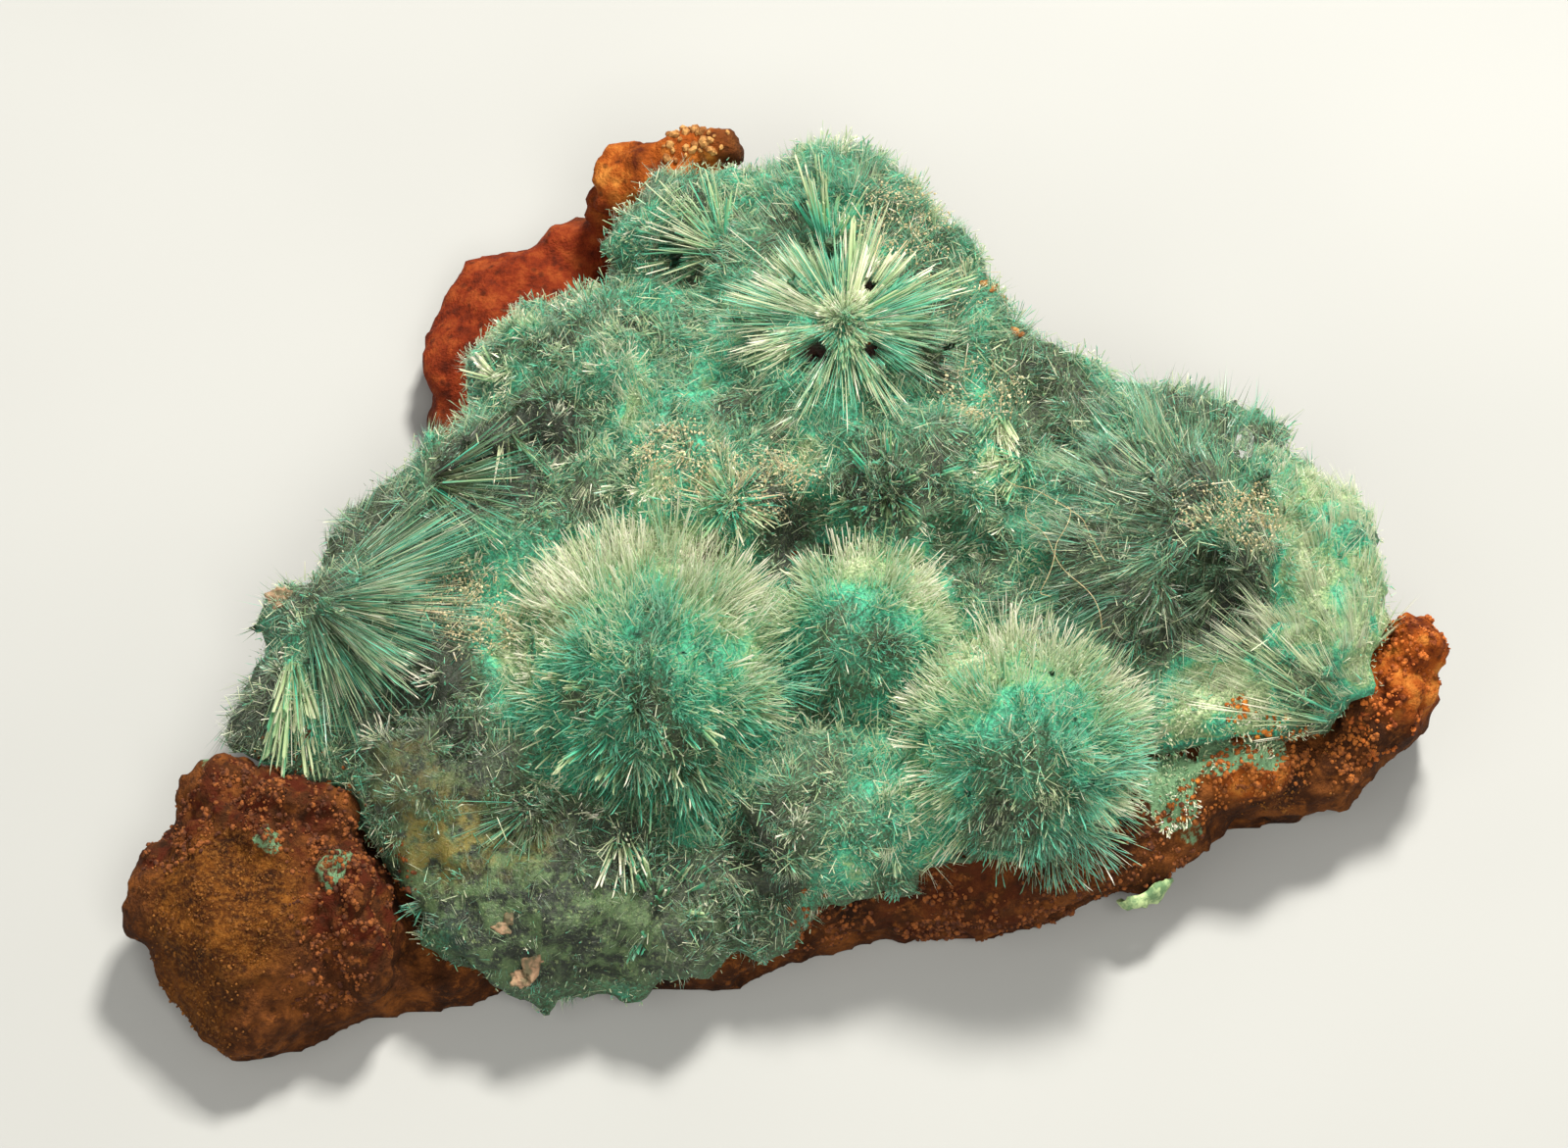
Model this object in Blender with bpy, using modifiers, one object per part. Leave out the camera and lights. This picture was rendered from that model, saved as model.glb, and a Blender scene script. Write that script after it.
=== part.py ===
"""Aurichalcite specimen: a crust of blue-green crystal sprays grown on a lump of brown limonite.

Run with: blender --background --python part.py

The rock is a foot slab and a heap of lumps, melted into one skin, roughened and cut flat to rest on.
The crust is a sheet hung from its own wavy edge, with a lump under every spray. The rock is cut out
of it with a thin gap, then spines and blades grow from it, away from the point where each spray
started. Sizes are in millimetres and are turned into metres as each mesh is made.
"""

import math
import random
from dataclasses import dataclass

import bmesh
import bpy
from mathutils import Matrix, Vector, noise
from mathutils.bvhtree import BVHTree

MM = 0.001

# ------------------------------------------------------------------ driving dimensions (mm)
GAP = 0.3                     # free space between the crust and the rock
GAP_SPARE = 0.15              # taken back by the melting of the cutter's skin
ROCK_VOXEL = 0.55             # cell of the skin melted round the rock's lumps
CRUST_VOXEL = 0.6
CUTTER_VOXEL = 0.5
SHEET_THICKNESS = 2.4         # crust at its thinnest
FOOT_TOP = 2.4                # height of the rock's foot slab
FOOT_DEPTH = 1.5              # how far the slab runs below the resting plane before the cut
FOOT_ROUND = 0.5
REST_HEIGHT = 0.0             # the rock is cut flat here
WELD = 0.001                  # corners nearer than this are one
FLAT_SNAP = 0.03              # corners nearer the resting plane than this lie on it

ROCK_FACES = 2350
CRUST_FACES = 2300
CUTTER_FACES = 1050
PATCH_FACES = 260

CRUST_ROUGH, CRUST_GRAIN = 0.9, 2.8
FINE_SKIN = 4                 # the rock's skin is this many times finer until it is roughened
ROCK_ROUGH = ((0.75, 3.4), (0.3, 1.1))   # depth and grain of the rock's two roughnesses
PATCH_ROUGH, PATCH_GRAIN = 0.25, 0.9

SEED = 41
SEED_STEP = (7.3, 3.1, 5.7)   # how far one seed's noise lies from the next
FINE_GRAIN, FINE_SHARE = 2.7, 0.45   # the second, finer noise in every roughness
LUMP_DETAIL = 4               # subdivisions of a lump's sphere

# The rock's lowest visible edge, seen from above, anticlockwise from the knob's tip.
FOOT_OUTLINE = (
    (-29.9, -19.2), (-29.0, -21.4), (-27.6, -23.5), (-25.6, -23.9), (-18.8, -21.0), (-13.3, -19.9),
    (-6.3, -19.9), (-2.8, -19.9), (3.2, -17.7), (8.2, -17.5), (12.7, -16.6), (17.9, -13.4),
    (20.9, -11.5), (24.8, -10.8), (27.9, -8.4), (29.5, -5.5), (28.2, -2.2), (24.7, 3.3),
    (20.7, 6.8), (13.7, 8.3), (9.2, 12.3), (6.7, 17.3), (2.7, 20.3), (-4.3, 21.8), (-9.3, 21.9),
    (-14.3, 19.5), (-17.3, 15.8), (-18.5, 11.3), (-18.8, 6.3), (-21.3, 0.3), (-23.8, -4.7),
    (-25.8, -9.7), (-28.3, -14.7),
)

# The crust's edge, with its height, anticlockwise from the lower left.
CRUST_EDGE = (
    (-26.1, -11.2, 6.5), (-22.3, -13.2, 7.5), (-19.8, -14.7, 7.0), (-18.3, -18.7, 5.5),
    (-16.8, -20.5, 4.2), (-12.8, -20.9, 3.6), (-9.3, -21.3, 3.4), (-5.8, -20.9, 3.4),
    (-1.8, -19.9, 3.8), (1.2, -17.9, 5.0), (6.2, -16.9, 5.6), (12.2, -16.3, 6.0), (15.2, -15.3, 6.2),
    (17.7, -13.1, 6.4), (21.7, -9.7, 6.8), (26.2, -9.3, 7.2), (28.1, -6.2, 7.6), (28.5, -2.7, 8.4),
    (27.5, 0.3, 9.0), (25.1, 3.7, 9.6), (22.5, 7.3, 10.2), (19.0, 8.3, 10.8), (15.2, 9.3, 11.0),
    (12.0, 11.3, 11.6), (9.7, 14.9, 12.0), (6.5, 18.1, 12.4), (3.4, 20.9, 12.6), (-1.3, 21.3, 11.8),
    (-6.9, 20.7, 11.0), (-9.1, 17.1, 10.4), (-9.9, 12.9, 10.0), (-13.6, 10.1, 9.8),
    (-16.5, 6.5, 9.4), (-19.6, 4.2, 9.0), (-22.0, 2.3, 8.8), (-23.7, -0.7, 8.4), (-25.3, -3.7, 7.8),
    (-26.4, -7.5, 6.8),
)


@dataclass(frozen=True)
class Lump:
    """An ellipsoid, turned about Z."""

    name: str
    centre: tuple[float, float, float]
    radii: tuple[float, float, float]
    turn: float = 0.0


@dataclass(frozen=True)
class Spray:
    """Crystals that fan out from one root, leaning from an axis between two angles (degrees)."""

    name: str
    root: tuple[float, float, float]
    axis: tuple[float, float, float]
    lean: tuple[float, float]
    reach: float
    spine: float
    blades: int


ROCK_LUMPS = (
    Lump("core", (-0.3, 1.3, 2.0), (17.0, 11.0, 5.6)),
    Lump("back mound", (0.7, 11.8, 3.0), (10.0, 9.0, 6.6)),
    Lump("right wing", (18.7, -1.2, 3.0), (11.0, 9.5, 4.4), -10.0),
    Lump("left wing", (-15.8, -1.7, 3.0), (7.5, 9.0, 3.9), 30.0),
    Lump("band left", (3.2, -14.3, 2.6), (6.0, 3.6, 2.7), 8.0),
    Lump("band middle", (10.2, -13.9, 2.9), (6.5, 3.8, 2.9), 12.0),
    Lump("band right", (16.7, -12.1, 2.9), (5.0, 3.4, 3.0), 30.0),
    Lump("ledge knob", (22.1, -10.7, 4.6), (3.6, 1.9, 2.1), 12.0),
    Lump("ledge end", (25.5, -10.1, 3.4), (2.4, 1.8, 1.9), 25.0),
    Lump("right lip", (29.0, -6.1, 4.4), (2.4, 3.6, 3.4), -28.0),
    Lump("lip crest", (30.0, -4.6, 6.8), (1.4, 1.6, 1.5)),
    Lump("knob", (-25.8, -17.0, 2.8), (4.8, 6.4, 5.2), 12.0),
    Lump("knob shoulder", (-29.6, -16.8, 4.6), (2.6, 2.4, 2.0), 30.0),
    Lump("knob toe", (-26.1, -22.3, 2.0), (2.3, 2.0, 2.6)),
    Lump("knob rim", (-24.9, -12.9, 6.0), (4.6, 2.0, 2.4), -14.0),
    Lump("knob ridge", (-20.7, -17.9, 4.2), (1.8, 3.8, 3.2), 14.0),
    Lump("back plate", (-13.2, 15.9, 2.8), (5.4, 6.4, 1.9), -30.0),
    Lump("plate corner", (-10.9, 19.9, 2.9), (3.4, 2.8, 1.8), 20.0),
    Lump("top rock", (-7.1, 21.8, 6.2), (3.5, 2.4, 3.8), -12.0),
    Lump("top crest", (-4.7, 22.7, 9.2), (2.4, 1.3, 1.4)),
)

KNOB_DISH = Lump("knob dish", (-26.1, -18.1, 9.6), (4.2, 5.0, 2.6), 14.0)

CRUST_LUMPS = (
    Lump("left dome", (-7.4, -5.9, 6.2), (7.0, 7.0, 7.0)),
    Lump("right dome", (11.0, -10.4, 6.8), (6.2, 5.6, 6.2)),
    Lump("saddle", (3.5, -4.8, 7.6), (4.8, 4.4, 4.6)),
    Lump("star mound", (2.6, 10.4, 7.5), (8.0, 7.5, 5.6)),
    Lump("top ridge", (-2.5, 17.7, 9.2), (6.5, 3.6, 3.4)),
    Lump("top knot", (3.0, 19.0, 11.2), (2.8, 2.4, 2.6)),
    Lump("felt field", (-3.8, 2.9, 7.5), (8.0, 5.0, 4.4)),
    Lump("middle knots", (5.7, 3.5, 8.0), (5.4, 3.4, 4.4)),
    Lump("upper left field", (-9.3, 9.8, 8.0), (7.0, 5.0, 3.6)),
    Lump("left shoulder", (-15.5, 2.5, 7.2), (5.2, 4.0, 3.4), 30.0),
    Lump("left fan bed", (-19.5, -4.8, 6.4), (5.6, 5.4, 3.4)),
    Lump("left hollow bank", (-16.8, -11.1, 6.2), (5.0, 4.6, 2.8)),
    Lump("front bank", (-11.3, -16.1, 4.2), (6.6, 4.6, 3.4)),
    Lump("front lump", (-5.3, -18.1, 4.0), (3.4, 2.8, 2.4)),
    Lump("front right bank", (1.7, -13.3, 6.0), (6.0, 4.0, 3.4)),
    Lump("right field", (17.2, 0.8, 8.0), (6.4, 6.4, 4.6)),
    Lump("right dome back", (22.5, -0.1, 7.6), (5.0, 5.4, 5.2)),
    Lump("right sheaf bed", (24.1, -5.3, 6.8), (4.2, 3.6, 3.6)),
    Lump("ledge patch", (20.7, -8.3, 6.6), (4.0, 2.6, 1.6)),
)

SPRAYS = (
    Spray("left dome", (-7.4, -5.9, 6.0), (0.0, -0.4, 1.0), (15.0, 82.0), 8.8, 2.4, 54),
    Spray("right dome", (11.0, -10.5, 6.6), (0.0, -0.4, 1.0), (15.0, 78.0), 7.9, 2.2, 44),
    Spray("saddle", (3.5, -4.8, 7.0), (0.0, -0.2, 1.0), (10.0, 75.0), 5.8, 1.6, 12),
    Spray("star", (2.6, 10.4, 12.6), (0.0, -0.45, 1.0), (66.0, 92.0), 7.6, 1.2, 40),
    Spray("right sheaf", (26.7, -7.7, 6.4), (-0.7, 0.6, 0.75), (10.0, 48.0), 8.4, 1.8, 22),
    Spray("feather", (20.7, 2.3, 8.0), (-0.9, 0.25, 0.55), (8.0, 42.0), 7.0, 1.6, 16),
    Spray("right crown", (22.3, -0.5, 7.0), (0.4, 0.3, 1.0), (15.0, 70.0), 6.6, 1.6, 12),
    Spray("left fan", (-23.3, -3.1, 7.0), (0.9, -0.35, 0.55), (12.0, 60.0), 6.4, 1.4, 18),
    Spray("left tuft", (-22.9, -6.7, 7.6), (-0.15, -1.0, 0.1), (5.0, 24.0), 5.6, 1.2, 8),
    Spray("upper left fan", (-15.1, 3.9, 7.6), (0.9, 0.1, 0.6), (10.0, 48.0), 5.6, 1.2, 10),
    Spray("top fan", (1.3, 15.5, 9.8), (0.0, 0.7, 0.8), (10.0, 52.0), 6.0, 1.2, 12),
    Spray("top left fan", (-5.3, 14.9, 9.2), (-0.5, 0.5, 0.8), (12.0, 60.0), 5.0, 1.2, 8),
    Spray("middle knot", (4.7, 2.9, 8.0), (0.2, -0.2, 1.0), (14.0, 70.0), 5.4, 1.2, 10),
    Spray("front tuft", (-6.3, -18.3, 3.8), (0.1, -0.5, 0.8), (12.0, 60.0), 3.6, 1.0, 8),
)

UNDERSIDE_PATCH = Lump("underside patch", (17.0, -15.35, 2.75), (1.7, 1.2, 0.9), 38.0)

SPINE_MIN_AREA = 0.35         # mm2: smaller faces grow no spine
SPINE_SHARE = 0.75            # share of the faces that grow one
SPINE_OFF_ROCK = 1.2          # no spine grows nearer the rock than this
SPINE_LEAN = 0.35             # least cosine between a spine and the face it grows from
FELT_SPINE = 0.7              # spines on the felt between the sprays
SPINE_HEIGHTS = (0.7, 1.0)    # shares of its full height that a spray's spine may have
FELT_HEIGHTS = (0.4, 1.0)
SPRAY_EDGE = 1.25             # a spray rules the faces within its reach times this
SPINE_TRIES = 8               # rounds of shortening spines that run into others
SPINE_SHORTEN = 0.5
BLADE_WIDTH = 0.42            # radius of a blade at its thickest
BLADE_START = 0.3             # where along its reach a blade's hidden end lies
BLADE_ENDS = (0.92, 1.12)     # and where along it the tips lie

ROCK_COLOUR = (0.27, 0.12, 0.045, 1.0)
CRUST_COLOUR = (0.16, 0.42, 0.30, 1.0)
UNDER_COLOUR = (0.36, 0.52, 0.30, 1.0)
ROCK_DULL, CRUST_DULL, UNDER_DULL = 0.85, 0.45, 0.6   # roughness of each material


# ------------------------------------------------------------------ helpers
def clear_scene():
    """Remove every object the scene starts with."""
    for obj in list(bpy.data.objects):
        bpy.data.objects.remove(obj, do_unlink=True)


def new_collection(name):
    """A collection linked to the scene."""
    collection = bpy.data.collections.new(name)
    bpy.context.scene.collection.children.link(collection)
    return collection


def stone_material(name, colour, roughness):
    """A plain Principled material."""
    material = bpy.data.materials.new(name)
    material.use_nodes = True
    shader = material.node_tree.nodes["Principled BSDF"]
    shader.inputs["Base Color"].default_value = colour
    shader.inputs["Roughness"].default_value = roughness
    shader.inputs["Metallic"].default_value = 0.0
    return material


def new_object(name, mesh, collection):
    """An object for a mesh, in a collection."""
    obj = bpy.data.objects.new(name, mesh)
    collection.objects.link(obj)
    return obj


def new_cutter(name, mesh, cutters):
    """An object that only cuts or joins others and isn't part of the specimen."""
    cutter = new_object(name, mesh, cutters)
    cutter.hide_render = True
    cutter.display_type = "WIRE"
    return cutter


def settle(obj):
    """Replace an object's mesh by its evaluated one and drop its modifiers."""
    bpy.context.view_layer.update()
    graph = bpy.context.evaluated_depsgraph_get()
    mesh = bpy.data.meshes.new_from_object(obj.evaluated_get(graph))
    obj.modifiers.clear()
    obj.data = mesh
    return obj


def add_lump(bm, lump):
    """Add one ellipsoid to a bmesh."""
    place = Matrix.Translation(Vector(lump.centre) * MM)
    turn = Matrix.Rotation(math.radians(lump.turn), 4, "Z")
    scale = Matrix.Diagonal([r * MM for r in lump.radii] + [1.0])
    bmesh.ops.create_icosphere(bm, subdivisions=LUMP_DETAIL, radius=1.0, matrix=place @ turn @ scale)


def finish_mesh(bm, name):
    """Turn a bmesh into a mesh and free it."""
    mesh = bpy.data.meshes.new(name)
    bm.to_mesh(mesh)
    bm.free()
    return mesh


def foot_slab(collection):
    """The rock's foot, as a rounded flat outline."""
    curve = bpy.data.curves.new("foot", "CURVE")
    curve.dimensions = "2D"
    curve.fill_mode = "BOTH"
    half = (FOOT_TOP + FOOT_DEPTH) / 2
    curve.extrude = (half - FOOT_ROUND) * MM
    curve.bevel_depth = FOOT_ROUND * MM
    curve.bevel_resolution = 2
    curve.offset = -FOOT_ROUND * MM
    spline = curve.splines.new("POLY")
    spline.points.add(len(FOOT_OUTLINE) - 1)
    for point, (x, y) in zip(spline.points, FOOT_OUTLINE):
        point.co = (x * MM, y * MM, 0.0, 1.0)
    spline.use_cyclic_u = True
    obj = bpy.data.objects.new("foot", curve)
    collection.objects.link(obj)
    bpy.context.view_layer.update()
    graph = bpy.context.evaluated_depsgraph_get()
    mesh = bpy.data.meshes.new_from_object(obj.evaluated_get(graph))
    mesh.transform(Matrix.Translation((0.0, 0.0, (half - FOOT_DEPTH) * MM)))
    bpy.data.objects.remove(obj, do_unlink=True)
    return mesh


def edge_sheet(bm):
    """The crust's sheet: its wavy edge filled with triangles and thickened downwards."""
    corners = [bm.verts.new(Vector(p) * MM) for p in CRUST_EDGE]
    face = bm.faces.new(corners)
    filled = bmesh.ops.triangulate(bm, faces=[face])["faces"]
    down = Vector((0.0, 0.0, -SHEET_THICKNESS * MM))
    lower = bmesh.ops.extrude_face_region(bm, geom=filled)["geom"]
    bmesh.ops.translate(bm, vec=down, verts=[g for g in lower if isinstance(g, bmesh.types.BMVert)])
    bmesh.ops.reverse_faces(bm, faces=filled)


def melt(obj, voxel):
    """Join an object's overlapping solids into one skin of small cells."""
    skin = obj.modifiers.new("skin", "REMESH")
    skin.mode = "VOXEL"
    skin.voxel_size = voxel * MM
    settle(obj)


def thin_out(obj, faces):
    """Collapse a mesh to about a number of triangles."""
    obj.data.calc_loop_triangles()
    count = len(obj.data.loop_triangles)
    thin = obj.modifiers.new("thin", "DECIMATE")
    thin.ratio = min(1.0, faces / count)
    thin.use_collapse_triangulate = True
    settle(obj)


def roughen(mesh, depth, grain, seed):
    """Push a skin in and out along its normals by noise of two sizes."""
    shift = Vector(SEED_STEP) * seed
    moves = []
    for vert in mesh.vertices:
        spot = vert.co / MM / grain + shift
        coarse = noise.noise(spot)
        fine = noise.noise(spot * FINE_GRAIN)
        moves.append(vert.normal * ((coarse + FINE_SHARE * fine) * depth * MM))
    for vert, move in zip(mesh.vertices, moves):
        vert.co += move


def largest_island(bm):
    """Keep only the connected part with the most faces."""
    left = set(bm.faces)
    islands = []
    while left:
        island = {left.pop()}
        edge_faces = list(island)
        while edge_faces:
            face = edge_faces.pop()
            for edge in face.edges:
                for other in edge.link_faces:
                    if other in left:
                        left.discard(other)
                        island.add(other)
                        edge_faces.append(other)
        islands.append(island)
    islands.sort(key=len)
    for island in islands[:-1]:
        bmesh.ops.delete(bm, geom=list(island), context="FACES")


def tidy_mesh(mesh):
    """Weld what lies in one place, keep the largest island and turn the faces outward."""
    bm = bmesh.new()
    bm.from_mesh(mesh)
    bmesh.ops.remove_doubles(bm, verts=bm.verts, dist=WELD * MM)
    bmesh.ops.dissolve_degenerate(bm, edges=bm.edges, dist=WELD * MM)
    bmesh.ops.triangulate(bm, faces=bm.faces)
    largest_island(bm)
    bmesh.ops.recalc_face_normals(bm, faces=bm.faces)
    bm.to_mesh(mesh)
    bm.free()


# ------------------------------------------------------------------ the rock
def build_rock(collection, cutters):
    """The limonite: foot slab, lumps and a dished knob, cut flat underneath."""
    bm = bmesh.new()
    bm.from_mesh(foot_slab(cutters))
    for lump in ROCK_LUMPS:
        add_lump(bm, lump)
    rock = new_object("limonite_matrix", finish_mesh(bm, "limonite_matrix"), collection)
    melt(rock, ROCK_VOXEL)
    thin_out(rock, ROCK_FACES * FINE_SKIN)

    bm = bmesh.new()
    add_lump(bm, KNOB_DISH)
    cut(rock, new_cutter("knob_dish", finish_mesh(bm, "knob_dish"), cutters))
    for step, (depth, grain) in enumerate(ROCK_ROUGH):
        roughen(rock.data, depth, grain, SEED + step)
    thin_out(rock, ROCK_FACES)
    cut_flat(rock.data)
    rock.data.materials.append(stone_material("limonite", ROCK_COLOUR, ROCK_DULL))
    return rock


def cut_flat(mesh):
    """Cut a mesh off at the resting plane and close it there with one flat face."""
    bm = bmesh.new()
    bm.from_mesh(mesh)
    plane = Vector((0.0, 0.0, REST_HEIGHT * MM))
    everything = bm.verts[:] + bm.edges[:] + bm.faces[:]
    bmesh.ops.bisect_plane(bm, geom=everything, dist=WELD * MM, plane_co=plane,
                           plane_no=(0.0, 0.0, 1.0), clear_inner=True)
    rim = [edge for edge in bm.edges if edge.is_boundary]
    bmesh.ops.holes_fill(bm, edges=rim, sides=0)
    bm.to_mesh(mesh)
    bm.free()
    tidy_mesh(mesh)
    for vert in mesh.vertices:
        if abs(vert.co.z - plane.z) < FLAT_SNAP * MM:
            vert.co.z = plane.z


def cut(obj, cutter):
    """Take one solid out of another and settle the result."""
    take = obj.modifiers.new("take", "BOOLEAN")
    take.operation = "DIFFERENCE"
    take.solver = "EXACT"
    take.use_self = True
    take.object = cutter
    settle(obj)


def rock_cutter(rock, cutters):
    """The rock grown by the gap, for cutting the crust's seat."""
    grown = new_cutter("rock_grown", rock.data.copy(), cutters)
    for vert, normal in zip(grown.data.vertices, [v.normal.copy() for v in rock.data.vertices]):
        vert.co += normal * ((GAP + GAP_SPARE) * MM)
    melt(grown, CUTTER_VOXEL)
    thin_out(grown, CUTTER_FACES)
    return grown


# ------------------------------------------------------------------ the crust
def build_crust(rock, rock_grown, collection, cutters):
    """The aurichalcite: sheet and lumps with spines and blades, cut to sit on the rock."""
    bm = bmesh.new()
    edge_sheet(bm)
    for lump in CRUST_LUMPS:
        add_lump(bm, lump)
    crust = new_object("aurichalcite_crust", finish_mesh(bm, "aurichalcite_crust"), collection)
    melt(crust, CRUST_VOXEL)
    roughen(crust.data, CRUST_ROUGH, CRUST_GRAIN, SEED + 5)
    thin_out(crust, CRUST_FACES)
    grow_spines(crust.data, surface_tree(rock))
    grow_blades(crust, cutters)
    cut(crust, rock_grown)
    tidy_mesh(crust.data)
    crust.data.materials.append(stone_material("aurichalcite", CRUST_COLOUR, CRUST_DULL))


def build_underside_crust(rock_grown, collection):
    """The small patch of crystals under the rock's front edge, cut to sit on the rock."""
    bm = bmesh.new()
    add_lump(bm, UNDERSIDE_PATCH)
    patch = new_object("underside_crust", finish_mesh(bm, "underside_crust"), collection)
    roughen(patch.data, PATCH_ROUGH, PATCH_GRAIN, SEED + 13)
    thin_out(patch, PATCH_FACES)
    cut(patch, rock_grown)
    tidy_mesh(patch.data)
    patch.data.materials.append(stone_material("pale_aurichalcite", UNDER_COLOUR, UNDER_DULL))


def surface_tree(obj):
    """A tree for finding the nearest point of an object's surface."""
    bm = bmesh.new()
    bm.from_mesh(obj.data)
    tree = BVHTree.FromBMesh(bm)
    bm.free()
    return tree


def ruling_spray(spot):
    """The spray whose reach a place lies in, or the nearest one, and how deep inside it is."""
    best, depth = None, None
    for spray in SPRAYS:
        inside = (spot - Vector(spray.root) * MM).length / (spray.reach * MM)
        if depth is None or inside < depth:
            best, depth = spray, inside
    return best, depth


def spine_move(face, rock_tree, rng):
    """The move from a face's middle to its spine's tip, or None where none grows."""
    middle = face.calc_center_median()
    _, _, _, off_rock = rock_tree.find_nearest(middle)
    if face.calc_area() < SPINE_MIN_AREA * MM * MM or off_rock < SPINE_OFF_ROCK * MM:
        return None
    if rng.random() > SPINE_SHARE:
        return None
    spray, depth = ruling_spray(middle)
    away = middle - Vector(spray.root) * MM
    if depth < SPRAY_EDGE and away.normalized().dot(face.normal) > SPINE_LEAN:
        room = max(spray.reach * MM - away.length, 0.0)
        height = min(spray.spine * MM, room) * rng.uniform(*SPINE_HEIGHTS) + FELT_SPINE * MM / 2
        return away.normalized() * height
    return face.normal * (FELT_SPINE * MM * rng.uniform(*FELT_HEIGHTS))


def grow_spines(mesh, rock_tree):
    """Raise a spine on most outer faces, away from its spray's root, clear of every other."""
    rng = random.Random(SEED)
    bm = bmesh.new()
    bm.from_mesh(mesh)
    tips = {}
    for face in list(bm.faces):
        move = spine_move(face, rock_tree, rng)
        if move is None:
            continue
        tip = bmesh.ops.poke(bm, faces=[face])["verts"][0]
        tips[tip] = (tip.co.copy(), move)
    for tip, (base, move) in tips.items():
        tip.co = base + move
    for _ in range(SPINE_TRIES):
        crossing = crossing_verts(bm) & set(tips)
        if not crossing:
            break
        for tip in crossing:
            base, move = tips[tip]
            tips[tip] = (base, move * SPINE_SHORTEN)
            tip.co = base + tips[tip][1]
    bm.to_mesh(mesh)
    bm.free()


def crossing_verts(bm):
    """Vertices of the triangles that run through others they share no vertex with."""
    bm.faces.ensure_lookup_table()
    bm.normal_update()
    tree = BVHTree.FromBMesh(bm)
    found = set()
    for first, second in tree.overlap(tree):
        if first >= second:
            continue
        ours, theirs = set(bm.faces[first].verts), set(bm.faces[second].verts)
        if not ours & theirs:
            found |= ours | theirs
    return found


def add_blade(bm, spray, rng):
    """Add one pointed three-sided blade of a spray to a bmesh."""
    axis = Vector(spray.axis).normalized()
    side = axis.orthogonal().normalized()
    around = rng.uniform(0.0, math.tau)
    low, high = spray.lean
    lean = math.radians(math.sqrt(rng.uniform(low ** 2, high ** 2)))
    way = Matrix.Rotation(around, 3, axis) @ (Matrix.Rotation(lean, 3, side) @ axis)
    start, end = spray.reach * BLADE_START, spray.reach * rng.uniform(*BLADE_ENDS)
    middle = (Vector(spray.root) + way * (start + end) / 2) * MM
    turn = way.to_track_quat("Z", "Y").to_matrix().to_4x4()
    twist = Matrix.Rotation(rng.uniform(0.0, math.tau), 4, "Z")
    bmesh.ops.create_cone(bm, segments=3, cap_ends=True, radius1=BLADE_WIDTH * MM, radius2=0.0,
                          depth=(end - start) * MM, matrix=Matrix.Translation(middle) @ turn @ twist)


def grow_blades(crust, cutters):
    """Join the sprays' longest crystals to the crust."""
    rng = random.Random(SEED + 9)
    bm = bmesh.new()
    for spray in SPRAYS:
        for _ in range(spray.blades):
            add_blade(bm, spray, rng)
    blades = new_cutter("blades", finish_mesh(bm, "blades"), cutters)
    join = crust.modifiers.new("join", "BOOLEAN")
    join.operation = "UNION"
    join.solver = "EXACT"
    join.use_self = True
    join.object = blades
    settle(crust)


def main():
    """Build the specimen."""
    clear_scene()
    specimen = new_collection("aurichalcite_specimen")
    cutters = new_collection("cutters")
    rock = build_rock(specimen, cutters)
    rock_grown = rock_cutter(rock, cutters)
    build_crust(rock, rock_grown, specimen, cutters)
    build_underside_crust(rock_grown, specimen)


main()
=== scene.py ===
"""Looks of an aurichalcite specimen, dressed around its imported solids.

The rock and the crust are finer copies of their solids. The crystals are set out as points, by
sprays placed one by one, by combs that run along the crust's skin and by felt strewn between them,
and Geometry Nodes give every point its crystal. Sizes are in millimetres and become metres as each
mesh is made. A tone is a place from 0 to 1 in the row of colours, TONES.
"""
import logging
import math
from dataclasses import dataclass, field
from enum import Enum
from typing import ClassVar, Iterable

import bmesh
import bpy
import numpy as np
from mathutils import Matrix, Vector, noise
from mathutils.bvhtree import BVHTree


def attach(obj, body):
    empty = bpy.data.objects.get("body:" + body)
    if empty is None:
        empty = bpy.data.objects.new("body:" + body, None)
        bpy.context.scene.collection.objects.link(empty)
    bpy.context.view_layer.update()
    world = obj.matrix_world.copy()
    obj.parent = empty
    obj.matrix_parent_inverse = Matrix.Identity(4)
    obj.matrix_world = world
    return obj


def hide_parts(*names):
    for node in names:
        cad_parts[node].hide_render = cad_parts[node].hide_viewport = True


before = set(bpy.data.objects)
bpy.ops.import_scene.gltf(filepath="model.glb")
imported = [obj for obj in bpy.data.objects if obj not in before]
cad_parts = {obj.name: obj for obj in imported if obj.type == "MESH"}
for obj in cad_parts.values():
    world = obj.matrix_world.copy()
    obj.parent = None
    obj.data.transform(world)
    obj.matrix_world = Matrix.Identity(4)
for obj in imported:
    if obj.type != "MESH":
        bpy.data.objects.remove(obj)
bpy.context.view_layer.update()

LOG = logging.getLogger("specimen")

MM = 0.001
BODY = "root"
SEED = 77

Array = np.ndarray
Chance = np.random.Generator
Thing = bpy.types.Object
Inputs = bpy.types.NodeOutputs
Span = tuple[float, float]
Vec3 = tuple[float, float, float]
Colour = tuple[float, float, float, float]
Stops = tuple[tuple[float, Colour], ...]
Layers = tuple[Vec3, ...]


# ------------------------------------------------------------------ small helpers
def unit(vectors: Array) -> Array:
    """Scale vectors to length one."""
    size = np.linalg.norm(vectors, axis=-1, keepdims=True)
    return vectors / np.maximum(size, 1e-9)


def smoothstep(low: float, high: float, value: Array) -> Array:
    """Rise smoothly from 0 to 1."""
    share = np.clip((value - low) / (high - low), 0.0, 1.0)
    return share * share * (3.0 - 2.0 * share)


def srgb(*screen: int) -> Colour:
    """Turn red, green and blue from 0 to 255 into the linear colour that shaders take."""
    return *(c / 255 / 12.92 if c <= 10 else ((c / 255 + 0.055) / 1.055) ** 2.4 for c in screen), 1.0


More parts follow.
